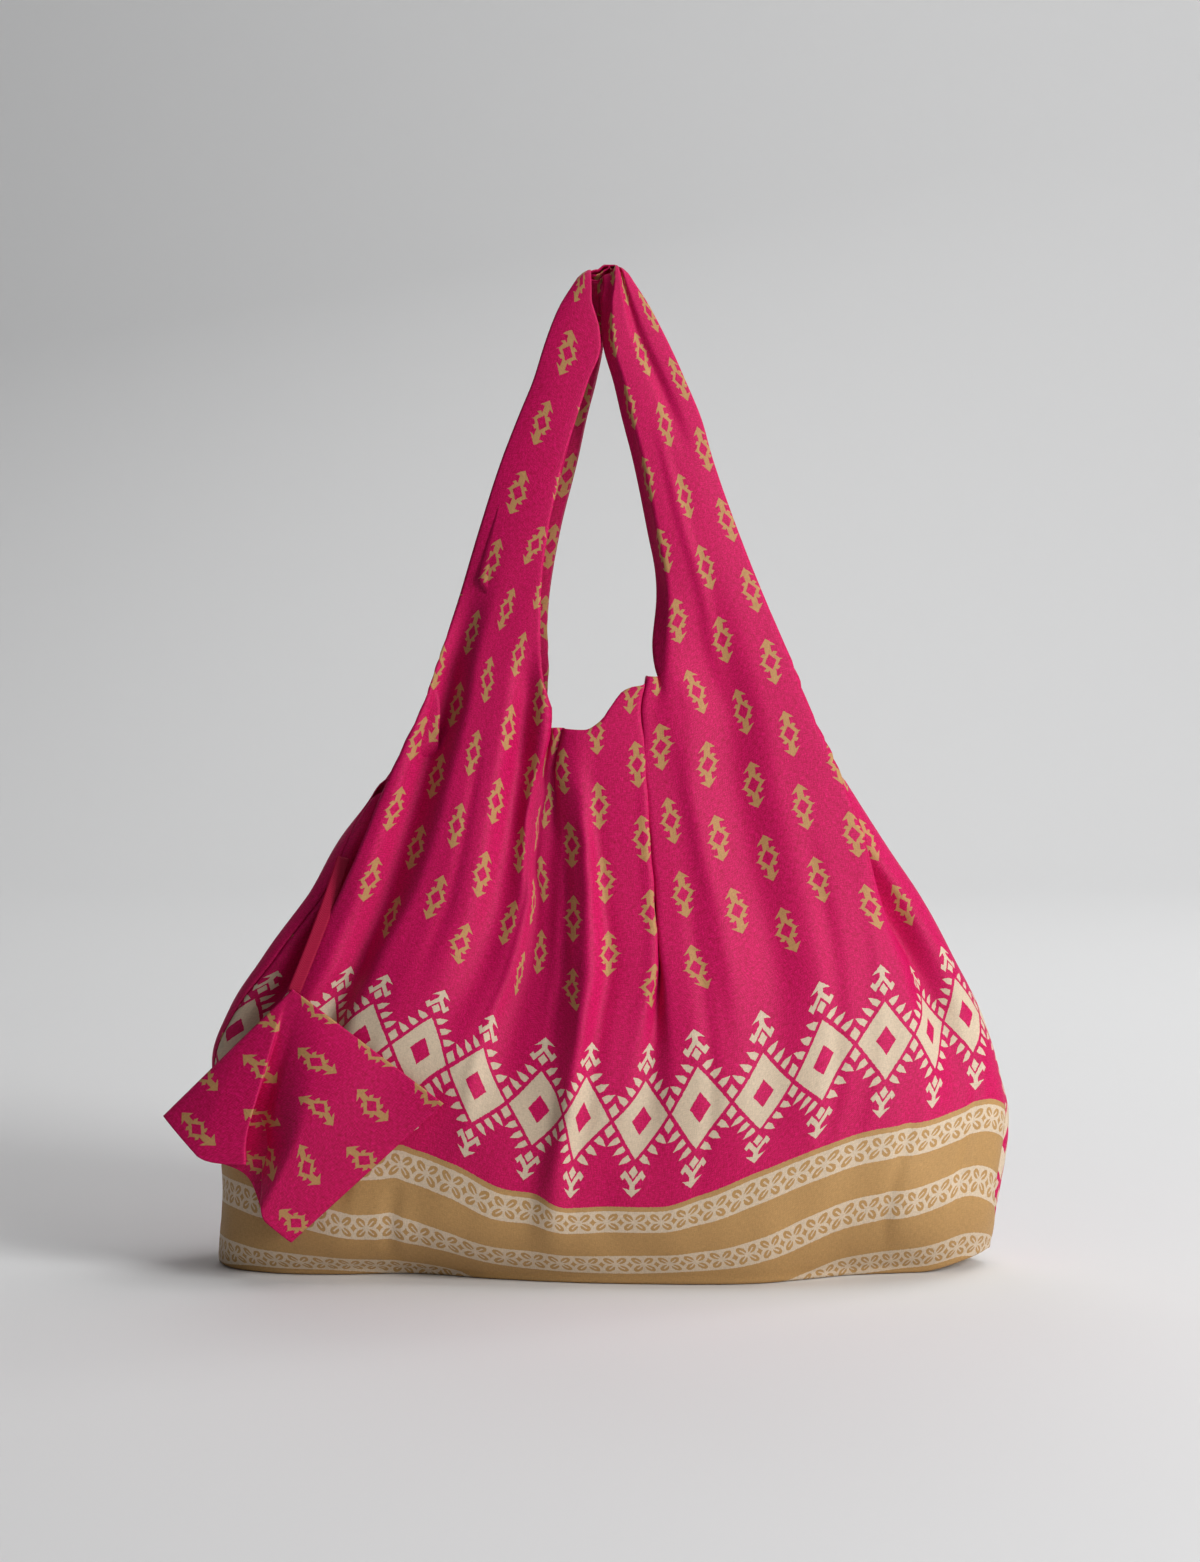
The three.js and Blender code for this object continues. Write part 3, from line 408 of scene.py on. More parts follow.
def gridColumns(left, right):
    # columns at every cut edge and strap fold, and evenly between them
    p = panelPlan
    marks = sorted({-clothHalf, -p["strapOuter"], p["neckLeft"], p["neckRight"], p["strapOuter"], clothHalf,
                    -float(foldColumns[left][0]), -float(foldColumns[left][1]),
                    float(foldColumns[right][0]), float(foldColumns[right][1])})
    runs = [np.linspace(a, b, int(np.ceil((b - a) / p["columnStep"])) + 1)[:-1]
            for a, b in zip(marks, marks[1:])]
    return np.concatenate(runs + [[clothHalf]])


def gridQuads(number):
    # the four corners of every cell of a grid of point numbers
    corners = [number[:-1, :-1], number[:-1, 1:], number[1:, 1:], number[1:, :-1]]
    return np.stack(corners, axis=-1).reshape(-1, 4)


def meshFrom(name, points, quads, attributes, uv):
    # points in mm; attributes are per point; uv is the flat place of each point in metres
    mesh = bpy.data.meshes.new(name)
    mesh.from_pydata([], [], [])
    mesh.vertices.add(len(points))
    moved = (points + np.array(partOrigin)) / 1000
    mesh.vertices.foreach_set("co", moved.astype(np.float32).ravel())
    mesh.loops.add(quads.size)
    mesh.polygons.add(len(quads))
    mesh.loops.foreach_set("vertex_index", quads.astype(np.int32).ravel())
    mesh.polygons.foreach_set("loop_start", np.arange(0, quads.size, 4, dtype=np.int32))
    mesh.update(calc_edges=True)
    layer = mesh.uv_layers.new(name="flatCloth")
    layer.data.foreach_set("uv", uv[quads.ravel()].astype(np.float32).ravel())
    for key, value in attributes.items():
        mesh.attributes.new(key, "FLOAT", "POINT").data.foreach_set("value", value.astype(np.float32))
    mesh.polygons.foreach_set("use_smooth", np.ones(len(quads), bool))
    mesh.validate()
    piece = bpy.data.objects.new(name, mesh)
    bpy.context.scene.collection.objects.link(piece)
    return piece


def giveThickness(piece, millimetres):
    wall = piece.modifiers.new("clothThickness", "SOLIDIFY")
    wall.thickness = millimetres / 1000
    wall.offset = 0
    wall.use_even_offset = False


def overStrap(columns):
    # true where a column runs on up into a strap
    p = panelPlan
    return (np.abs(columns) <= p["strapOuter"]) & ((columns <= p["neckLeft"]) | (columns >= p["neckRight"]))


def panelRows(side, folds, creases, edge, left, right, columns):
    # rows of cloth, each one x, y, z and the place across the cut: from the bottom seam over the base, round
    # its rim, up the wall to the cut edge, and on up the straps
    p, lattice, n = panelPlan, rowLattice(side, folds), len(columns)
    foot, lift = p["baseRound"] + p["footRise"], p["baseLift"]
    top = readTable(edge, columns, "z")

    def wall(u, z):
        return panelWall(side, lattice, folds, creases, left, right, u, z)

    soft = p["baseRound"] * (1 - p["cornerSharp"] * np.exp(-(clothHalf - np.abs(columns)) / p["cornerRun"]))
    rimX, rimY, _ = wall(columns, np.full(n, foot))
    _, _, nx, ny = fromLattice(lattice, columns, np.full(n, foot))
    inX, inY = rimX - nx * soft, rimY - ny * soft
    seamX = columns / clothHalf * p["bottomSeamHalf"]
    parts = []
    for row in range(p["floorRows"] + 1):
        share = (row / p["floorRows"]) ** 0.8
        y = mix(side * p["seamGap"], inY, share)
        parts.append((mix(seamX, inX, share), y, np.full(n, lift), columns))
    for angle in rimAngles:
        inset = soft * (1 - np.sin(angle))
        level = np.full(n, lift + (foot - lift) * (1 - np.cos(angle)))
        parts.append((rimX - nx * inset, rimY - ny * inset, level, columns))
    for row in range(p["wallRows"] + 1):
        z = mix(foot, top, row / p["wallRows"])
        parts.append((*wall(columns, z), columns))
    for row in range(1, p["strapRows"] + 1):
        z = mix(top, p["strapTop"], row / p["strapRows"])
        u = np.where(columns < 0, followFolds(left, columns, z), followFolds(right, columns, z))
        parts.append((*wall(u, z), u))
    return (np.stack([part[m] for part in parts]) for m in range(4))


def turnTops(side, x, y, z):
    # the strap tops turn over in a quarter circle towards the other panel's, the left ones end lower, and the
    # base stands raised at its right corner
    p = panelPlan
    turn = p["topTurn"]
    over = np.clip((z - (p["strapTop"] - turn)) / turn, 0, 1) * np.pi / 2
    reach = np.abs(y)
    turned = p["strapTop"] - turn + reach * np.sin(over) * np.minimum(1, turn / np.maximum(reach, turn))
    z = np.where(over > 0, turned, z)
    y = np.where(over > 0, y * np.cos(over) + side * p["topGap"], y)
    atLeft = smooth((p["lowerAt"] - x) / p["lowerAcross"])
    z = z - p["leftLower"] * atLeft * smooth((z - p["lowerFrom"]) / p["lowerOver"])
    rise = smooth((x - p["liftFrom"]) / p["liftOver"]) * (1 - smooth(z / p["liftFade"]))
    return y, z + p["liftHeight"] * rise


# How the print lies on the cut, in mm up it: where the border's, the band's and the field's rise take over,
# and how far across the field is moved on the left of the deep valley.
printLay = {
    "footRun": 60.0, "bandFrom": 105.0, "bandOver": 48.0, "fieldFrom": 153.0, "fieldOver": 80.0,
    "acrossFrom": 193.0, "acrossOver": 35.0, "fieldLeft": 11.0, "leftFrom": -60.0, "leftOver": 20.0,
}


def printHeight(x, y, z, columns):
    # how far up the flat cut each point lies: the cloth under the base, then the way along its column
    p, rim = printLay, panelPlan["floorRows"]
    step = np.sqrt(np.diff(x, axis=0) ** 2 + np.diff(y, axis=0) ** 2 + np.diff(z, axis=0) ** 2)
    run = np.concatenate([np.zeros((1, len(columns))), np.cumsum(step, axis=0)])
    foot = readTable(printFoot, columns, "v")
    climbed = run - run[rim]
    plain = foot + climbed
    low, middle, high = (readTable(printRise, columns, name) for name in printRise[0][1:])
    rise = mix(low * smooth(climbed / p["footRun"]), middle, smooth((plain - p["bandFrom"]) / p["bandOver"]))
    v = plain + mix(rise, high, smooth((plain - p["fieldFrom"]) / p["fieldOver"]))
    return np.where(np.arange(len(x))[:, None] < rim, foot * run / run[rim], v)


def printAcross(u, v):
    # the block-printed band and border run a little closer than the field above them
    p = printLay
    field = u - p["fieldLeft"] * smooth((p["leftFrom"] - u) / p["leftOver"])
    return mix(readTable(printBand, u, "across"), field, smooth((v - p["acrossFrom"]) / p["acrossOver"]))


def hemPlaces(u, v, edgeRow, inStrap):
    # distance of each point from the nearest cut edge, and its place along that edge
    p = panelPlan
    hemIn = np.where(u < 0, -p["neckLeft"], p["neckRight"])
    sideways = np.minimum(np.abs(np.abs(u) - hemIn), np.abs(p["strapOuter"] - np.abs(u)))
    below = np.maximum(v[edgeRow] - v, 0)
    upStrap = inStrap & (np.arange(len(v))[:, None] > edgeRow)
    return np.where(inStrap, np.hypot(below, sideways), below), np.where(upStrap, v, u)


def panelQuads(side, rows, columns, edgeRow):
    # which points of the grid are cloth, and the quads between them, with none across the neck and armholes
    keep = np.ones((rows, len(columns)), bool)
    keep[edgeRow + 1:, ~overStrap(columns)] = False
    number = np.full(keep.shape, -1)
    number[keep] = np.arange(keep.sum())
    quad = gridQuads(number)
    openCell = np.zeros((rows - 1, len(columns) - 1), bool)
    openCell[edgeRow:, ~overStrap((columns[1:] + columns[:-1]) / 2)] = True
    quad = quad[(quad >= 0).all(axis=1) & ~openCell.ravel()]
    return keep, quad[:, ::-1] if side > 0 else quad


def flatArea(u, v, quad):
    # area of the flat cut in square metres, as the sum of its quads by their diagonals
    flat = np.stack([u, v], axis=-1)[quad] / 1000
    a, b = flat[:, 2] - flat[:, 0], flat[:, 3] - flat[:, 1]
    return float(np.sum(np.abs((a[:, 0] * b[:, 1] - a[:, 1] * b[:, 0]) / 2)))


def buildPanel(name, side, folds, creases, edge, left, right, printDrop=0.0):
    # the grid runs across the cut and, in each column, from the bottom seam up to the top of the strap
    p = panelPlan
    columns = gridColumns(left, right)
    x, y, z, u = panelRows(side, folds, creases, edge, left, right, columns)
    y, z = turnTops(side, x, y, z)
    v = printHeight(x, y, z, columns)
    edgeRow = p["floorRows"] + len(rimAngles) + 1 + p["wallRows"]
    fromHem, alongHem = hemPlaces(u, v, edgeRow, overStrap(columns))
    keep, quad = panelQuads(side, len(x), columns, edgeRow)
    points = np.stack([x, y, z], axis=-1)[keep]
    uv = np.stack([printAcross(u, v + printDrop), v + printDrop], axis=-1)[keep] / 1000
    piece = meshFrom(name, points, quad, {"fromHem": fromHem[keep], "alongHem": alongHem[keep]}, uv)
    area = flatArea(u[keep], v[keep], quad)
    print(name, "vertices", len(points), "flat area m2", round(area, 4))
    giveThickness(piece, p["thickness"])
    return piece, area


# The stuff pouch: a square hung by its top corner, its mouth the lower left edge. The pleat and the notch are
# given in shares of the side; pleatDepth, flapOver and the rest are in mm.
pouchPlan = {
    "top": (-164, -49, 156), "left": (-234, -44, 87), "right": (-82.5, -78, 99), "bottom": (-164, -67, 23),
    "steps": 120, "side": 106.0, "thickness": 0.6, "seam": 0.5,
    "frontCrown": 16.0, "backCrown": 3.0, "mouthLift": 2.1,
    "pleatAt": 0.50, "flapSide": 0.05, "hollowSide": 0.27, "pleatDepth": 26.0,
    "flapOver": 8.0, "flapReach": 0.16, "tuckBack": 0.7, "tuckReach": 0.06,
    "notchAt": 0.44, "notchWidth": 0.26, "notchDepth": 0.16, "printUp": 300.0, "printShift": 4.0,
}


def buildPouch(name, layer):
    # a square between four corners, a from the mouth to the far edge and b along the mouth. The layer swells
    # away from its rim, and a notch draws the mouth's hem up. A pleat runs up from the mouth of the front
    # layer: a hollow, steep on the flap's side and easy on the other, with the flap's edge hanging over it
    p = pouchPlan
    line = np.linspace(0, 1, p["steps"] + 1)
    b, a = np.meshgrid(line, line)
    drawn = p["notchDepth"] * smooth(1 - np.abs(b - p["notchAt"]) / p["notchWidth"])
    across = mix(a, 1, drawn if layer < 0 else drawn / 2)
    corner = {key: np.array(p[key], float) for key in ("top", "left", "right", "bottom")}
    low = mix(corner["bottom"], corner["right"], across[..., None])
    high = mix(corner["left"], corner["top"], across[..., None])
    points = mix(low, high, b[..., None])
    swell = np.sin(np.pi * b) ** 0.8 * np.cos(np.pi / 2 * a ** 1.6)
    if layer < 0:
        past = b - mix(p["pleatAt"], 1, a)
        pleat = smooth(1 - np.abs(past) / np.where(past > 0, p["flapSide"], p["hollowSide"]))
        fade = (1 - a) * np.abs(np.sin(np.pi * b)) ** 0.5
        lap = np.maximum(1 - np.abs(past - p["flapSide"]) / p["flapReach"], 0)
        lap = lap - p["tuckBack"] * smooth(1 - np.abs(past) / p["tuckReach"])
        points[..., 0] += p["flapOver"] * lap * fade ** 0.6
        points[..., 1] -= p["frontCrown"] * swell - p["pleatDepth"] * (pleat * fade)
    else:
        points[..., 1] += (p["backCrown"] - p["mouthLift"]) * swell
    points[..., 1] += layer * p["seam"]
    count = p["steps"] + 1
    number = np.arange(count * count).reshape(count, count)
    quad = gridQuads(number)[:, [0, 3, 2, 1]]     # turned, so that the front layer faces outwards
    if layer > 0:
        quad = quad[:, ::-1]
    uv = np.stack([a * p["side"] + p["printShift"], b * p["side"] + p["printUp"]], axis=-1)
    uv = uv.reshape(-1, 2) / 1000
    attributes = {"fromHem": (a * p["side"]).ravel(), "alongHem": (b * p["side"]).ravel()}
    piece = meshFrom(name, points.reshape(-1, 3), quad, attributes, uv)
    giveThickness(piece, p["thickness"])
    return piece


tapePlan = {
    "start": (-138.5, -20, 224), "bend": (-147, -33, 195), "end": (-163.7, -46.9, 154),
    "width": 7.0, "thickness": 0.8, "steps": 60, "across": 6, "noHem": 50.0,
    "hex": "#a00436", "ribPitch": 1.1, "ribSlant": 2800.0, "roughness": 0.65, "shine": 0.25,
}


def buildTape(name):
    # a flat strip carried along a curve with two ends and one point that bends it, its width square to the
    # curve and to the view
    p = tapePlan
    t = np.linspace(0, 1, p["steps"] + 1)[:, None]
    start, bend, end = (np.array(p[key], float) for key in ("start", "bend", "end"))
    path = (1 - t) ** 2 * start + 2 * t * (1 - t) * bend + t ** 2 * end
    way = 2 * (1 - t) * (bend - start) + 2 * t * (end - bend)
    side = np.cross(np.array([0.0, 1.0, 0.0]), way)
    side /= np.linalg.norm(side, axis=1)[:, None]
    s = np.linspace(-0.5, 0.5, p["across"] + 1)
    points = path[:, None, :] + side[:, None, :] * s[None, :, None] * p["width"]
    run = np.concatenate([[0], np.cumsum(np.linalg.norm(np.diff(path, axis=0), axis=1))])
    uv = np.stack(np.broadcast_arrays(s[None, :] * p["width"], run[:, None]), axis=-1).reshape(-1, 2) / 1000
    number = np.arange((p["steps"] + 1) * (p["across"] + 1)).reshape(-1, p["across"] + 1)
    blank = {"fromHem": np.full(number.size, p["noHem"]), "alongHem": np.zeros(number.size)}
    piece = meshFrom(name, points.reshape(-1, 3), gridQuads(number), blank, uv)
    giveThickness(piece, p["thickness"])
    return piece, float(run[-1])


print("stage: cloth panels")
frontPanel, frontArea = buildPanel("frontCloth", -1, frontFolds, frontCreases, frontEdge,
                                   "frontLeft", "frontRight")
backPanel, backArea = buildPanel("backCloth", 1, backFolds, backCreases, backEdge, "backLeft", "backRight",
                                 panelPlan["backPrintDrop"])
print("stage: pouch and tape")
pouchFront = buildPouch("pouchFrontCloth", -1)
pouchBack = buildPouch("pouchBackCloth", 1)
pouchTape, tapeLength = buildTape("pouchTapeWeb")


def linear(code, alpha=1.0):
    # sRGB hex to linear colour
    parts = [int(code[i:i + 2], 16) / 255 for i in (1, 3, 5)]
    return tuple(c / 12.92 if c <= 0.04045 else ((c + 0.055) / 1.055) ** 2.4 for c in parts) + (alpha,)


def addNode(tree, kind, settings=None, inputs=None):
    # adds one node; inputs are values or sockets by place or by name
    node = tree.nodes.new(kind)
    for key, value in (settings or {}).items():
        setattr(node, key, value)
    pairs = inputs.items() if isinstance(inputs, dict) else enumerate(inputs or [])
    for key, value in pairs:
        if isinstance(value, bpy.types.NodeSocket):
            tree.links.new(value, node.inputs[key])
        else:
            node.inputs[key].default_value = value
    return node


def workOut(tree, known, steps):
    # carries out a list of sums, each row being its result's name, the operation and what goes in
    for name, operation, *terms in steps:
        inputs = [known[term] if isinstance(term, str) else term for term in terms]
        node = addNode(tree, "ShaderNodeMath", {"operation": operation}, inputs)
        known[name] = node.outputs[0]
    return known


# The print, charted on the flat cut in mm: x across and y up from the bottom seam.
printPlan = {
    "columnPitch": 24.0, "columnStart": 2.0, "motifPitch": 40.0, "motifStart": 7.0, "lowestMotif": 218.0,
    "diamondPitch": 36.0, "diamondStart": -12.0, "diamondLevel": 153.0,
    "borderTop": 105.0, "stripMiddle": 26.5, "stripPitch": 34.0, "stripHalf": 7.5, "flowerPitch": 16.4,
    "goldHex": "#b68857", "borderHex": "#b28b58", "creamHex": "#cebaa1",
}
# One motif: half widths and half heights of its ring, eye and side spikes, its teeth, neck and arrowheads.
motifPlan = {
    "ring": (5.9, 6.9), "eye": (3.5, 4.3), "spike": (7.1, 1.6), "toothAt": (3.1, 3.9), "tooth": (2.0, 1.2),
    "neck": (1.8, 9.2), "headTip": 12.7, "headFlare": 0.25, "headFoot": 9.1,
}
# One diamond: half width, half height and the way from its middle to a side; then its eye, the lines left
# open between the shapes, squares, blades, chevrons with their barbs, stem and arrow tip.
diamondPlan = {
    "half": 18.0, "tall": 22.8, "slant": 14.13, "inset": -1.0, "eye": (6.2, 8.0), "line": 1.1,
    "squareLong": 5.9, "squareDeep": 5.4,
    "bladeFrom": 7.9, "bladeTo": 26.6, "bladePitch": 6.3, "bladeLean": 0.28, "bladeAt": 3.6,
    "bladeTaper": -0.42, "bladeRoot": 3.5, "bladeHalf": 1.75,
    "chevron": (6.5, 8.9), "chevronEnd": -1.2, "barbOut": 10.6, "barbEnd": 1.4,
    "stemHalf": 1.5, "stem": (34.0, 38.5), "tipSlope": -1.05, "tipTop": 43.9, "tipFlare": 0.28,
    "tipFoot": 38.0, "bandHalf": 43.0,
}
# One flower and star of the strips: how much shorter it is up the cloth than across, its petals with their
# slits, the star, and the plain line along the top of the border.
flowerPlan = {
    "stretch": 1.14, "diagonal": 0.7071, "petalAt": 5.3, "petal": (3.5, 2.3), "slitHalf": 0.5, "slitEnd": 6.4,
    "star": (2.3, 2.7), "starPower": 0.75, "topLine": 3.0,
}


def motifSteps(p, m):
    # a small ring with side spikes and an arrowhead at each end, in half-dropped columns
    return [
        ("cx0", "SUBTRACT", "x", p["columnStart"]),
        ("cell", "DIVIDE", "cx0", p["columnPitch"]),
        ("column", "FLOOR", "cell"),
        ("cxPart", "SUBTRACT", "cell", "column"),
        ("cx", "MULTIPLY_ADD", "cxPart", p["columnPitch"], -p["columnPitch"] / 2),
        ("odd", "FLOORED_MODULO", "column", 2.0),
        ("cy0", "MULTIPLY_ADD", "odd", -p["motifPitch"] / 2, "y"),
        ("cy1", "SUBTRACT", "cy0", p["motifStart"]),
        ("cy2", "FLOORED_MODULO", "cy1", p["motifPitch"]),
        ("cy", "SUBTRACT", "cy2", p["motifPitch"] / 2),
        ("ax", "ABSOLUTE", "cx"),
        ("ay", "ABSOLUTE", "cy"),
        ("ring1", "DIVIDE", "ax", m["ring"][0]), ("ring2", "MULTIPLY_ADD", "ay", 1 / m["ring"][1], "ring1"),
        ("ring", "LESS_THAN", "ring2", 1.0),
        ("eye1", "DIVIDE", "ax", m["eye"][0]), ("eye2", "MULTIPLY_ADD", "ay", 1 / m["eye"][1], "eye1"),
        ("notEye", "GREATER_THAN", "eye2", 1.0),
        ("spike1", "DIVIDE", "ax", m["spike"][0]),
        ("spike2", "MULTIPLY_ADD", "ay", 1 / m["spike"][1], "spike1"),
        ("spike", "LESS_THAN", "spike2", 1.0),
        ("tooth1", "SUBTRACT", "ax", m["toothAt"][0]), ("tooth2", "ABSOLUTE", "tooth1"),
        ("tooth3", "DIVIDE", "tooth2", m["tooth"][0]),
        ("tooth4", "SUBTRACT", "ay", m["toothAt"][1]), ("tooth5", "ABSOLUTE", "tooth4"),
        ("tooth6", "MULTIPLY_ADD", "tooth5", 1 / m["tooth"][1], "tooth3"),
        ("tooth", "LESS_THAN", "tooth6", 1.0),
        ("neck1", "LESS_THAN", "ax", m["neck"][0]), ("neck2", "LESS_THAN", "ay", m["neck"][1]),
        ("neck", "MULTIPLY", "neck1", "neck2"),
        ("head1", "MULTIPLY_ADD", "ay", -1.0, m["headTip"]), ("head2", "LESS_THAN", "ax", "head1"),
        ("head3", "MULTIPLY_ADD", "ax", m["headFlare"], "ay"),
        ("head4", "GREATER_THAN", "head3", m["headFoot"]),
        ("head", "MULTIPLY", "head2", "head4"),
        ("m1", "MAXIMUM", "ring", "spike"), ("m2", "MAXIMUM", "m1", "tooth"), ("m3", "MAXIMUM", "m2", "neck"),
        ("m4", "MAXIMUM", "m3", "head"), ("m5", "MULTIPLY", "m4", "notEye"),
        ("level", "SUBTRACT", "y", "cy"), ("inField", "GREATER_THAN", "level", p["lowestMotif"]),
        ("motif", "MULTIPLY", "m5", "inField"),
    ]


def diamondSteps(p, d):
    # big diamonds in a row, their outlines crossing: b is the way out from a side, a the way along it from
    # the diamond's side corner, and e the way past its top
    return [
        ("dx0", "SUBTRACT", "x", p["diamondStart"]), ("dx1", "FLOORED_MODULO", "dx0", p["diamondPitch"]),
        ("dx2", "SUBTRACT", "dx1", d["half"]), ("bx", "ABSOLUTE", "dx2"),
        ("dy0", "SUBTRACT", "y", p["diamondLevel"]), ("by", "ABSOLUTE", "dy0"),
        ("sx", "DIVIDE", "bx", d["half"]), ("sy", "DIVIDE", "by", d["tall"]),
        ("s", "ADD", "sx", "sy"), ("w", "SUBTRACT", "sy", "sx"),
        ("b", "MULTIPLY_ADD", "s", d["slant"], -d["slant"]),
        ("a", "MULTIPLY_ADD", "w", d["slant"], d["slant"]),
        ("e", "SUBTRACT", "a", 2 * d["slant"]),
        ("body", "LESS_THAN", "b", d["inset"]),
        ("eyeA", "DIVIDE", "bx", d["eye"][0]), ("eyeB", "MULTIPLY_ADD", "by", 1 / d["eye"][1], "eyeA"),
        ("notDiamondEye", "GREATER_THAN", "eyeB", 1.0), ("diamond", "MULTIPLY", "body", "notDiamondEye"),
        ("out", "GREATER_THAN", "b", d["line"]),
        ("near", "LESS_THAN", "a", d["squareLong"]), ("sideSquare", "MULTIPLY", "out", "near"),
        ("past", "GREATER_THAN", "e", d["line"]), ("close", "LESS_THAN", "b", d["squareDeep"]),
        ("topSquare", "MULTIPLY", "past", "close"),
        ("blade0", "SUBTRACT", "a", d["bladeFrom"]), ("blade1", "FLOORED_MODULO", "blade0", d["bladePitch"]),
        ("blade2", "MULTIPLY_ADD", "b", d["bladeLean"], "blade1"),
        ("blade3", "SUBTRACT", "blade2", d["bladeAt"]),
        ("blade4", "ABSOLUTE", "blade3"),
        ("taper0", "MULTIPLY_ADD", "b", d["bladeTaper"], d["bladeRoot"]),
        ("taper", "MINIMUM", "taper0", d["bladeHalf"]),
        ("blade5", "LESS_THAN", "blade4", "taper"), ("blade6", "MULTIPLY", "blade5", "out"),
        ("blade7", "GREATER_THAN", "a", d["bladeFrom"]), ("blade8", "LESS_THAN", "a", d["bladeTo"]),
        ("blade9", "MULTIPLY", "blade7", "blade8"), ("blade", "MULTIPLY", "blade6", "blade9"),
        ("chev1", "GREATER_THAN", "b", d["chevron"][0]), ("chev2", "LESS_THAN", "b", d["chevron"][1]),
        ("chev3", "MULTIPLY", "chev1", "chev2"),
        ("chev4", "GREATER_THAN", "e", d["chevronEnd"]), ("chev5", "MULTIPLY", "chev3", "chev4"),
        ("barb1", "LESS_THAN", "b", d["barbOut"]), ("barb2", "LESS_THAN", "e", d["barbEnd"]),
        ("barb3", "MULTIPLY", "barb1", "barb2"),
        ("barb4", "MULTIPLY", "chev1", "chev4"), ("barb", "MULTIPLY", "barb3", "barb4"),
        ("chevron", "MAXIMUM", "chev5", "barb"),
        ("stem1", "LESS_THAN", "bx", d["stemHalf"]), ("stem2", "GREATER_THAN", "by", d["stem"][0]),
        ("stem3", "LESS_THAN", "by", d["stem"][1]),
        ("stem4", "MULTIPLY", "stem1", "stem2"), ("stem", "MULTIPLY", "stem3", "stem4"),
        ("tip1", "MULTIPLY_ADD", "by", d["tipSlope"], d["tipTop"]), ("tip2", "LESS_THAN", "bx", "tip1"),
        ("tip3", "MULTIPLY_ADD", "bx", d["tipFlare"], "by"), ("tip4", "GREATER_THAN", "tip3", d["tipFoot"]),
        ("tip", "MULTIPLY", "tip2", "tip4"),
        ("d1", "MAXIMUM", "diamond", "sideSquare"), ("d2", "MAXIMUM", "d1", "topSquare"),
        ("d3", "MAXIMUM", "d2", "blade"), ("d4", "MAXIMUM", "d3", "chevron"), ("d5", "MAXIMUM", "d4", "stem"),
        ("d6", "MAXIMUM", "d5", "tip"), ("inBand", "LESS_THAN", "by", d["bandHalf"]),
        ("band", "MULTIPLY", "d6", "inBand"),
    ]


def borderSteps(p, f):
    # gold ground with cream strips; in each strip four-petalled flowers and small stars by turns
    return [
        ("fy0", "SUBTRACT", "y", p["stripMiddle"] - p["stripPitch"] / 2),
        ("fy1", "FLOORED_MODULO", "fy0", p["stripPitch"]),
        ("fy2", "SUBTRACT", "fy1", p["stripPitch"] / 2), ("fy", "ABSOLUTE", "fy2"),
        ("fx0", "FLOORED_MODULO", "x", p["flowerPitch"]), ("fx1", "SUBTRACT", "fx0", p["flowerPitch"] / 2),
        ("fx", "ABSOLUTE", "fx1"),
        ("strip", "LESS_THAN", "fy", p["stripHalf"]),
        ("gy", "MULTIPLY", "fy", f["stretch"]), ("p0", "ADD", "fx", "gy"),
        ("along", "MULTIPLY", "p0", f["diagonal"]),
        ("q0", "SUBTRACT", "fx", "gy"), ("q1", "MULTIPLY", "q0", f["diagonal"]), ("side", "ABSOLUTE", "q1"),
        ("o1", "SUBTRACT", "along", f["petalAt"]), ("o2", "DIVIDE", "o1", f["petal"][0]),
        ("o3", "MULTIPLY", "o2", "o2"), ("o4", "DIVIDE", "side", f["petal"][1]),
        ("o5", "MULTIPLY_ADD", "o4", "o4", "o3"), ("petal", "LESS_THAN", "o5", 1.0),
        ("slit1", "GREATER_THAN", "side", f["slitHalf"]), ("slit2", "GREATER_THAN", "along", f["slitEnd"]),
        ("slit", "MAXIMUM", "slit1", "slit2"), ("flower", "MULTIPLY", "petal", "slit"),
        ("g0", "SUBTRACT", p["flowerPitch"] / 2, "fx"), ("g1", "DIVIDE", "g0", f["star"][0]),
        ("g2", "POWER", "g1", f["starPower"]),
        ("g3", "DIVIDE", "fy", f["star"][1]), ("g4", "POWER", "g3", f["starPower"]),
        ("g5", "ADD", "g2", "g4"),
        ("star", "LESS_THAN", "g5", 1.0),
        ("f1", "MAXIMUM", "flower", "star"), ("f2", "SUBTRACT", 1.0, "f1"),
        ("stripCream", "MULTIPLY", "strip", "f2"),
        ("inBorder", "LESS_THAN", "y", p["borderTop"]),
        ("underLine", "LESS_THAN", "y", p["borderTop"] - f["topLine"]),
        ("borderCream", "MULTIPLY", "stripCream", "underLine"),
        ("notCream", "SUBTRACT", 1.0, "borderCream"), ("borderGold", "MULTIPLY", "inBorder", "notCream"),
    ]


# The cloth itself: its two pinks, finish, threads and turned hem, in mm. Real threads are too fine to show in
# the render, so they are drawn as coarse as they need to be: flecks 0.6 mm and a weave 0.9 mm apart.
clothPlan = {
    "deepHex": "#b00040", "brightHex": "#cf0b63", "roughness": 0.58, "shine": 0.27,
    "fleckLong": 0.34, "fleckClose": 1.7, "weaveTurn": 7.0, "wobble": 0.7, "wobbleScale": 0.55,
    "hemDeep": 9.0, "stitchAt": 7.6, "stitchHalf": 0.45, "stitchPitch": 3.2, "stitchLong": 2.2,
}


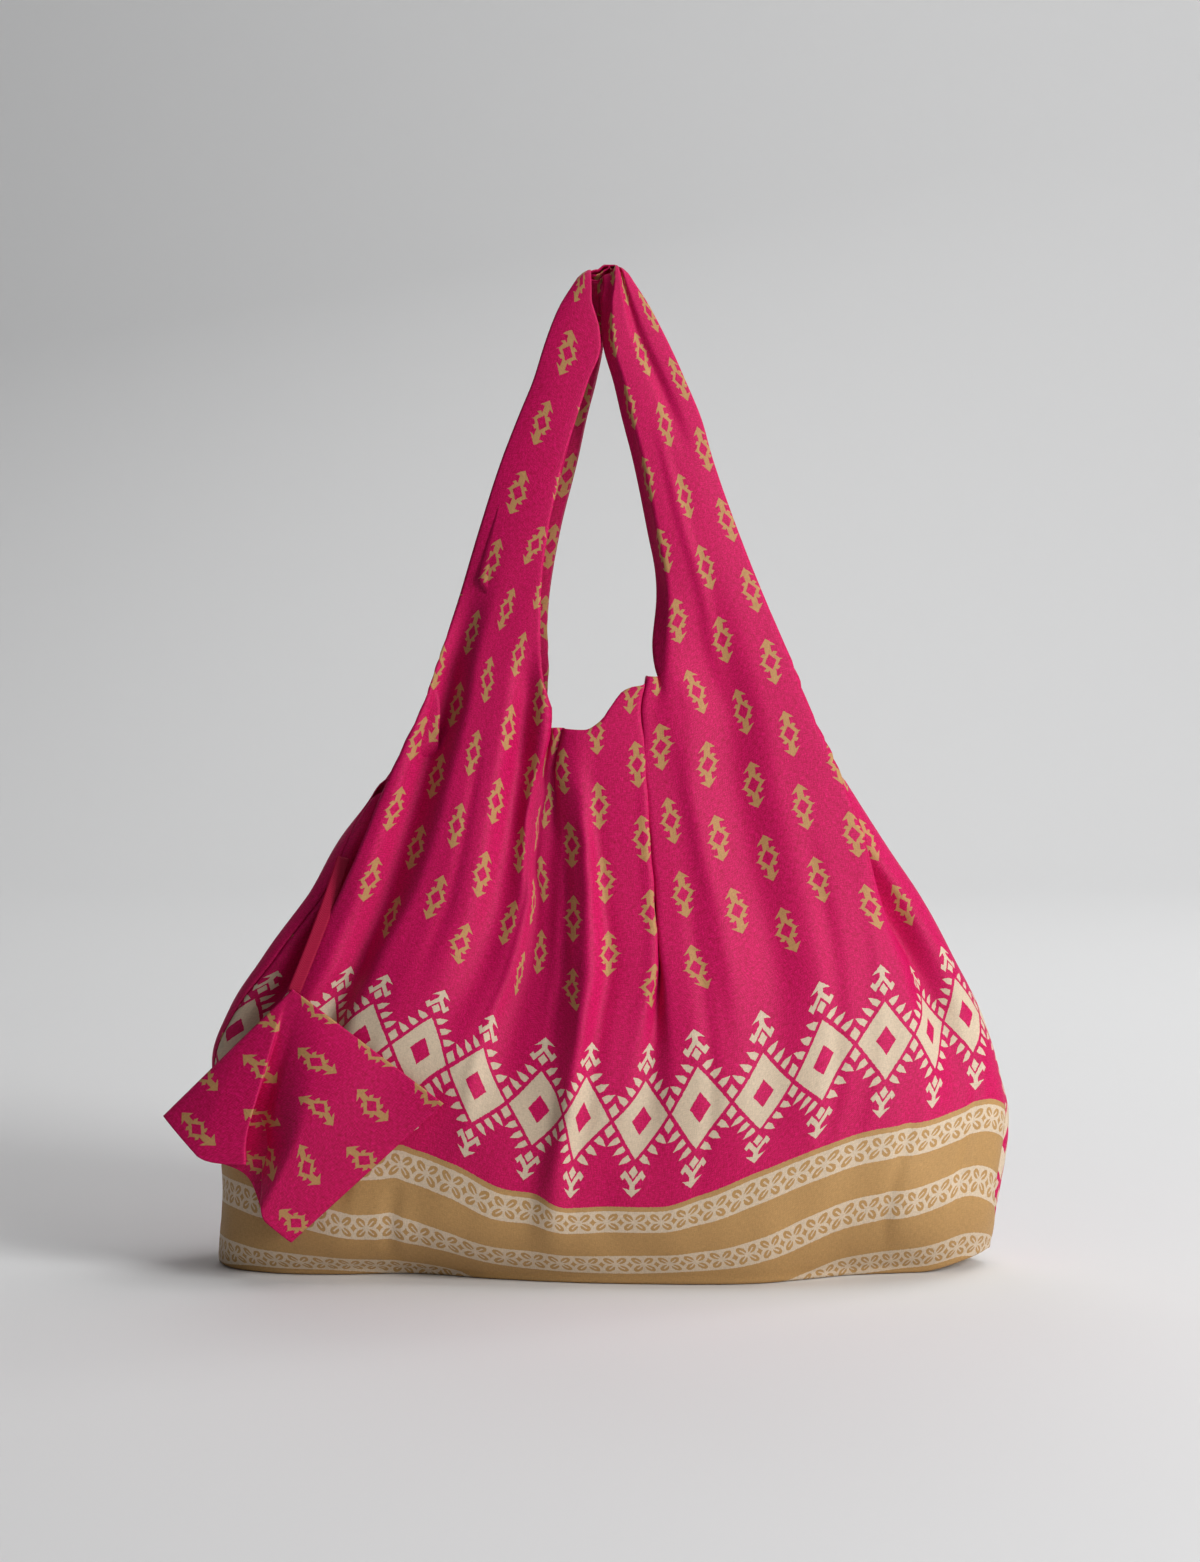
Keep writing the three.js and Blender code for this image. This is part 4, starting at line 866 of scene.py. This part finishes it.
def printedCloth():
    # block-printed art silk: a fine plain weave with uneven threads, soft sheen, ink that sits in the cloth
    p, c = printPlan, clothPlan
    material = bpy.data.materials.new("printedArtSilk")
    material.use_nodes = True
    tree = material.node_tree
    tree.nodes.clear()
    uv = addNode(tree, "ShaderNodeUVMap", {"uv_map": "flatCloth"})
    flat = addNode(tree, "ShaderNodeVectorMath", {"operation": "SCALE"}, {0: uv.outputs[0], 3: 1000.0})
    wobble = addNode(tree, "ShaderNodeTexNoise", {"noise_dimensions": "2D"},
                     {"Vector": flat.outputs[0], "Scale": c["wobbleScale"], "Detail": 2.0})
    nudge = addNode(tree, "ShaderNodeVectorMath", {"operation": "MULTIPLY_ADD"},
                    [wobble.outputs["Color"], (c["wobble"], c["wobble"], 0.0),
                     (-c["wobble"] / 2, -c["wobble"] / 2, 0.0)])
    place = addNode(tree, "ShaderNodeVectorMath", {"operation": "ADD"}, [flat.outputs[0], nudge.outputs[0]])
    split = addNode(tree, "ShaderNodeSeparateXYZ", None, [place.outputs[0]])
    known = {"x": split.outputs[0], "y": split.outputs[1]}
    workOut(tree, known, motifSteps(p, motifPlan) + diamondSteps(p, diamondPlan) + borderSteps(p, flowerPlan))
    workOut(tree, known, [("creamInk", "MAXIMUM", "band", "borderCream")])
    # uneven threads: long flecks up and across the cloth
    flecks, close, long = [], c["fleckClose"], c["fleckLong"]
    for stretch, seed in (((close, long, 1), 0.0), ((long, close, 1), 40.0)):
        threads = addNode(tree, "ShaderNodeMapping", None,
                          {"Vector": flat.outputs[0], "Scale": stretch, "Location": (seed, seed, 0)})
        fleck = addNode(tree, "ShaderNodeTexNoise", {"noise_dimensions": "2D"},
                        {"Vector": threads.outputs[0], "Scale": 1.0, "Detail": 3.0, "Roughness": 0.7})
        flecks.append(fleck.outputs["Fac"])
    broad = addNode(tree, "ShaderNodeTexNoise", {"noise_dimensions": "2D"},
                    {"Vector": flat.outputs[0], "Scale": 0.02, "Detail": 2.0})
    known.update({"warp": flecks[0], "weft": flecks[1], "broad": broad.outputs["Fac"]})
    workOut(tree, known, [
        ("grain0", "ADD", "warp", "weft"), ("grain", "MULTIPLY_ADD", "grain0", 1.6, -1.1),
        ("tone0", "MULTIPLY_ADD", "grain", 0.30, 0.85), ("tone1", "MULTIPLY_ADD", "broad", 0.12, -0.06),
        ("tone", "ADD", "tone0", "tone1"),
        ("u1", "MULTIPLY", "x", c["weaveTurn"]), ("u2", "SINE", "u1"),
        ("v1", "MULTIPLY", "y", c["weaveTurn"]), ("v2", "SINE", "v1"),
        ("weave0", "MULTIPLY", "u2", "v2"), ("weave", "MULTIPLY_ADD", "grain", 1.4, "weave0"),
    ])
    crimson = addNode(tree, "ShaderNodeMix", {"data_type": "RGBA"},
                      {0: known["grain"], 6: linear(c["deepHex"]), 7: linear(c["brightHex"])})
    gold = addNode(tree, "ShaderNodeMix", {"data_type": "RGBA"},
                   {0: known["motif"], 6: crimson.outputs[2], 7: linear(p["goldHex"])})
    ground = addNode(tree, "ShaderNodeMix", {"data_type": "RGBA"},
                     {0: known["borderGold"], 6: gold.outputs[2], 7: linear(p["borderHex"])})
    cream = addNode(tree, "ShaderNodeMix", {"data_type": "RGBA"},
                    {0: known["creamInk"], 6: ground.outputs[2], 7: linear(p["creamHex"])})
    toned = addNode(tree, "ShaderNodeHueSaturation", None,
                    {"Color": cream.outputs[2], "Value": known["tone"]})
    # a turned hem with a row of stitches
    edge = addNode(tree, "ShaderNodeAttribute", {"attribute_name": "fromHem"})
    along = addNode(tree, "ShaderNodeAttribute", {"attribute_name": "alongHem"})
    known.update({"hem": edge.outputs["Fac"], "hemRun": along.outputs["Fac"]})
    workOut(tree, known, [
        ("hemStep", "LESS_THAN", "hem", c["hemDeep"]),
        ("st1", "SUBTRACT", "hem", c["stitchAt"]), ("st2", "ABSOLUTE", "st1"),
        ("st3", "LESS_THAN", "st2", c["stitchHalf"]),
        ("st4", "FLOORED_MODULO", "hemRun", c["stitchPitch"]), ("st5", "LESS_THAN", "st4", c["stitchLong"]),
        ("stitch", "MULTIPLY", "st3", "st5"),
        ("height0", "MULTIPLY_ADD", "hemStep", 3.0, "weave"),
        ("height", "MULTIPLY_ADD", "stitch", -2.5, "height0"),
    ])
    bump = addNode(tree, "ShaderNodeBump", None,
                   {"Height": known["height"], "Strength": 0.35, "Distance": 0.0001})
    shader = addNode(tree, "ShaderNodeBsdfPrincipled", None, {
        "Base Color": toned.outputs[0], "Roughness": c["roughness"], "IOR": 1.45,
        "Specular IOR Level": c["shine"], "Normal": bump.outputs[0]})
    addNode(tree, "ShaderNodeOutputMaterial", None, [shader.outputs[0]])
    return material


def wovenTape():
    # narrow woven polyester tape: fine ribs across it and a slight shine. The place along it is in
    # metres, so 6283, two pi times 1000, over the pitch in mm gives the ribs' angle
    p = tapePlan
    material = bpy.data.materials.new("wovenTape")
    material.use_nodes = True
    tree = material.node_tree
    tree.nodes.clear()
    uv = addNode(tree, "ShaderNodeUVMap", {"uv_map": "flatCloth"})
    split = addNode(tree, "ShaderNodeSeparateXYZ", None, [uv.outputs[0]])
    known = workOut(tree, {"x": split.outputs[0], "y": split.outputs[1]}, [
        ("ax", "ABSOLUTE", "x"), ("r1", "MULTIPLY", "y", 6283.0 / p["ribPitch"]),
        ("r2", "MULTIPLY_ADD", "ax", p["ribSlant"], "r1"),
        ("rib", "SINE", "r2"), ("tone", "MULTIPLY_ADD", "rib", 0.08, 0.95),
    ])
    toned = addNode(tree, "ShaderNodeHueSaturation", None,
                    {"Color": linear(p["hex"]), "Value": known["tone"]})
    bump = addNode(tree, "ShaderNodeBump", None,
                   {"Height": known["rib"], "Strength": 0.4, "Distance": 0.0002})
    shader = addNode(tree, "ShaderNodeBsdfPrincipled", None, {
        "Base Color": toned.outputs[0], "Roughness": p["roughness"], "IOR": 1.45,
        "Specular IOR Level": p["shine"], "Normal": bump.outputs[0]})
    addNode(tree, "ShaderNodeOutputMaterial", None, [shader.outputs[0]])
    return material


print("stage: materials")
clothMaterial = printedCloth()
for piece in (frontPanel, backPanel, pouchFront, pouchBack):
    piece.data.materials.append(clothMaterial)
pouchTape.data.materials.append(wovenTape())

for piece, node, slotName in ((frontPanel, "front_panel", "printed_cloth"),
                              (backPanel, "back_panel", "printed_cloth"),
                              (pouchFront, "pouch_front", "printed_cloth"),
                              (pouchBack, "pouch_back", "printed_cloth"),
                              (pouchTape, "pouch_tape", "tape")):
    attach(piece, "root")
    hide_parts(node)

# The room: a pale floor that curves up into a wall.
roomPlan = {
    "halfWidth": 6.0, "near": -5.0, "wallAt": 3.6, "round": 1.5, "height": 5.0, "paper": "#dedede",
    "airHex": "#dfe2e6", "airStrength": 0.12, "cameraAt": (0.0, -2.0, 0.4), "cameraAim": (0.0, 0.0, 0.264),
    "focalPixels": 3680.0, "imageHeight": 1562.0, "sensorWidth": 36.0,
}
# The lights: where each stands, what it is aimed at, its width and height in metres, and watts.
lightPlan = {
    "keyLight": ((1.9, -1.6, 1.25), (0, 0, 0.25), (0.9, 1.2), 61),
    "topLight": ((0.9, 0.1, 2.4), (0.2, 0.1, 0.0), (1.6, 1.6), 24),
    "wallLight": ((1.4, 1.2, 2.2), (0.6, 3.4, 0.6), (1.6, 1.2), 30),
    "backLight": ((-0.6, 2.6, 1.9), (0, 0, 0.2), (1.8, 1.4), 12),
}


def buildRoom():
    # a strip straight along the floor, round a quarter circle and straight up
    p = roomPlan
    angle = np.linspace(0, np.pi / 2, 33)
    y = np.concatenate([[p["near"]], p["wallAt"] - p["round"] + p["round"] * np.sin(angle), [p["wallAt"]]])
    z = np.concatenate([[0], p["round"] * (1 - np.cos(angle)), [p["height"]]])
    points = np.array([(x, b, c) for x in (-p["halfWidth"], p["halfWidth"]) for b, c in zip(y, z)])
    n = len(y)
    mesh = bpy.data.meshes.new("stageFloor")
    mesh.from_pydata(points.tolist(), [], [(i, i + n, i + n + 1, i + 1) for i in range(n - 1)])
    mesh.polygons.foreach_set("use_smooth", np.ones(n - 1, bool))
    floor = bpy.data.objects.new("stageFloor", mesh)
    bpy.context.scene.collection.objects.link(floor)
    paper = bpy.data.materials.new("studioPaper")
    paper.use_nodes = True
    shader = paper.node_tree.nodes["Principled BSDF"]
    shader.inputs["Base Color"].default_value = linear(p["paper"])
    shader.inputs["Roughness"].default_value = 0.9
    mesh.materials.append(paper)


def addLight(name, place, aim, size, watts):
    # a white lamp with a flat face turned to what it is aimed at
    lamp = bpy.data.lights.new(name, "AREA")
    lamp.shape, lamp.size, lamp.size_y = "RECTANGLE", size[0], size[1]
    lamp.energy, lamp.color = watts, linear("#ffffff")[:3]
    holder = bpy.data.objects.new(name, lamp)
    bpy.context.scene.collection.objects.link(holder)
    holder.location = place
    holder.rotation_euler = (Vector(aim) - Vector(place)).to_track_quat("-Z", "Y").to_euler()


print("stage: room, lights and camera")
buildRoom()
for name, settings in lightPlan.items():
    addLight(name, *settings)
world = bpy.data.worlds.new("studioAir")
bpy.context.scene.world = world
world.use_nodes = True
world.node_tree.nodes["Background"].inputs["Color"].default_value = linear(roomPlan["airHex"])
world.node_tree.nodes["Background"].inputs["Strength"].default_value = roomPlan["airStrength"]

lens = bpy.data.cameras.new("photoCamera")
lens.sensor_width = roomPlan["sensorWidth"]
lens.lens = roomPlan["focalPixels"] / roomPlan["imageHeight"] * roomPlan["sensorWidth"]
viewer = bpy.data.objects.new("photoCamera", lens)
bpy.context.scene.collection.objects.link(viewer)
offset = Vector((partOrigin[0] / 1000, partOrigin[1] / 1000, 0))
viewer.location = Vector(roomPlan["cameraAt"]) + offset
aim = Vector(roomPlan["cameraAim"]) + offset
viewer.rotation_euler = (aim - viewer.location).to_track_quat("-Z", "Y").to_euler()
bpy.context.scene.camera = viewer
bpy.context.scene.view_settings.view_transform = "Standard"

print("stage: done")
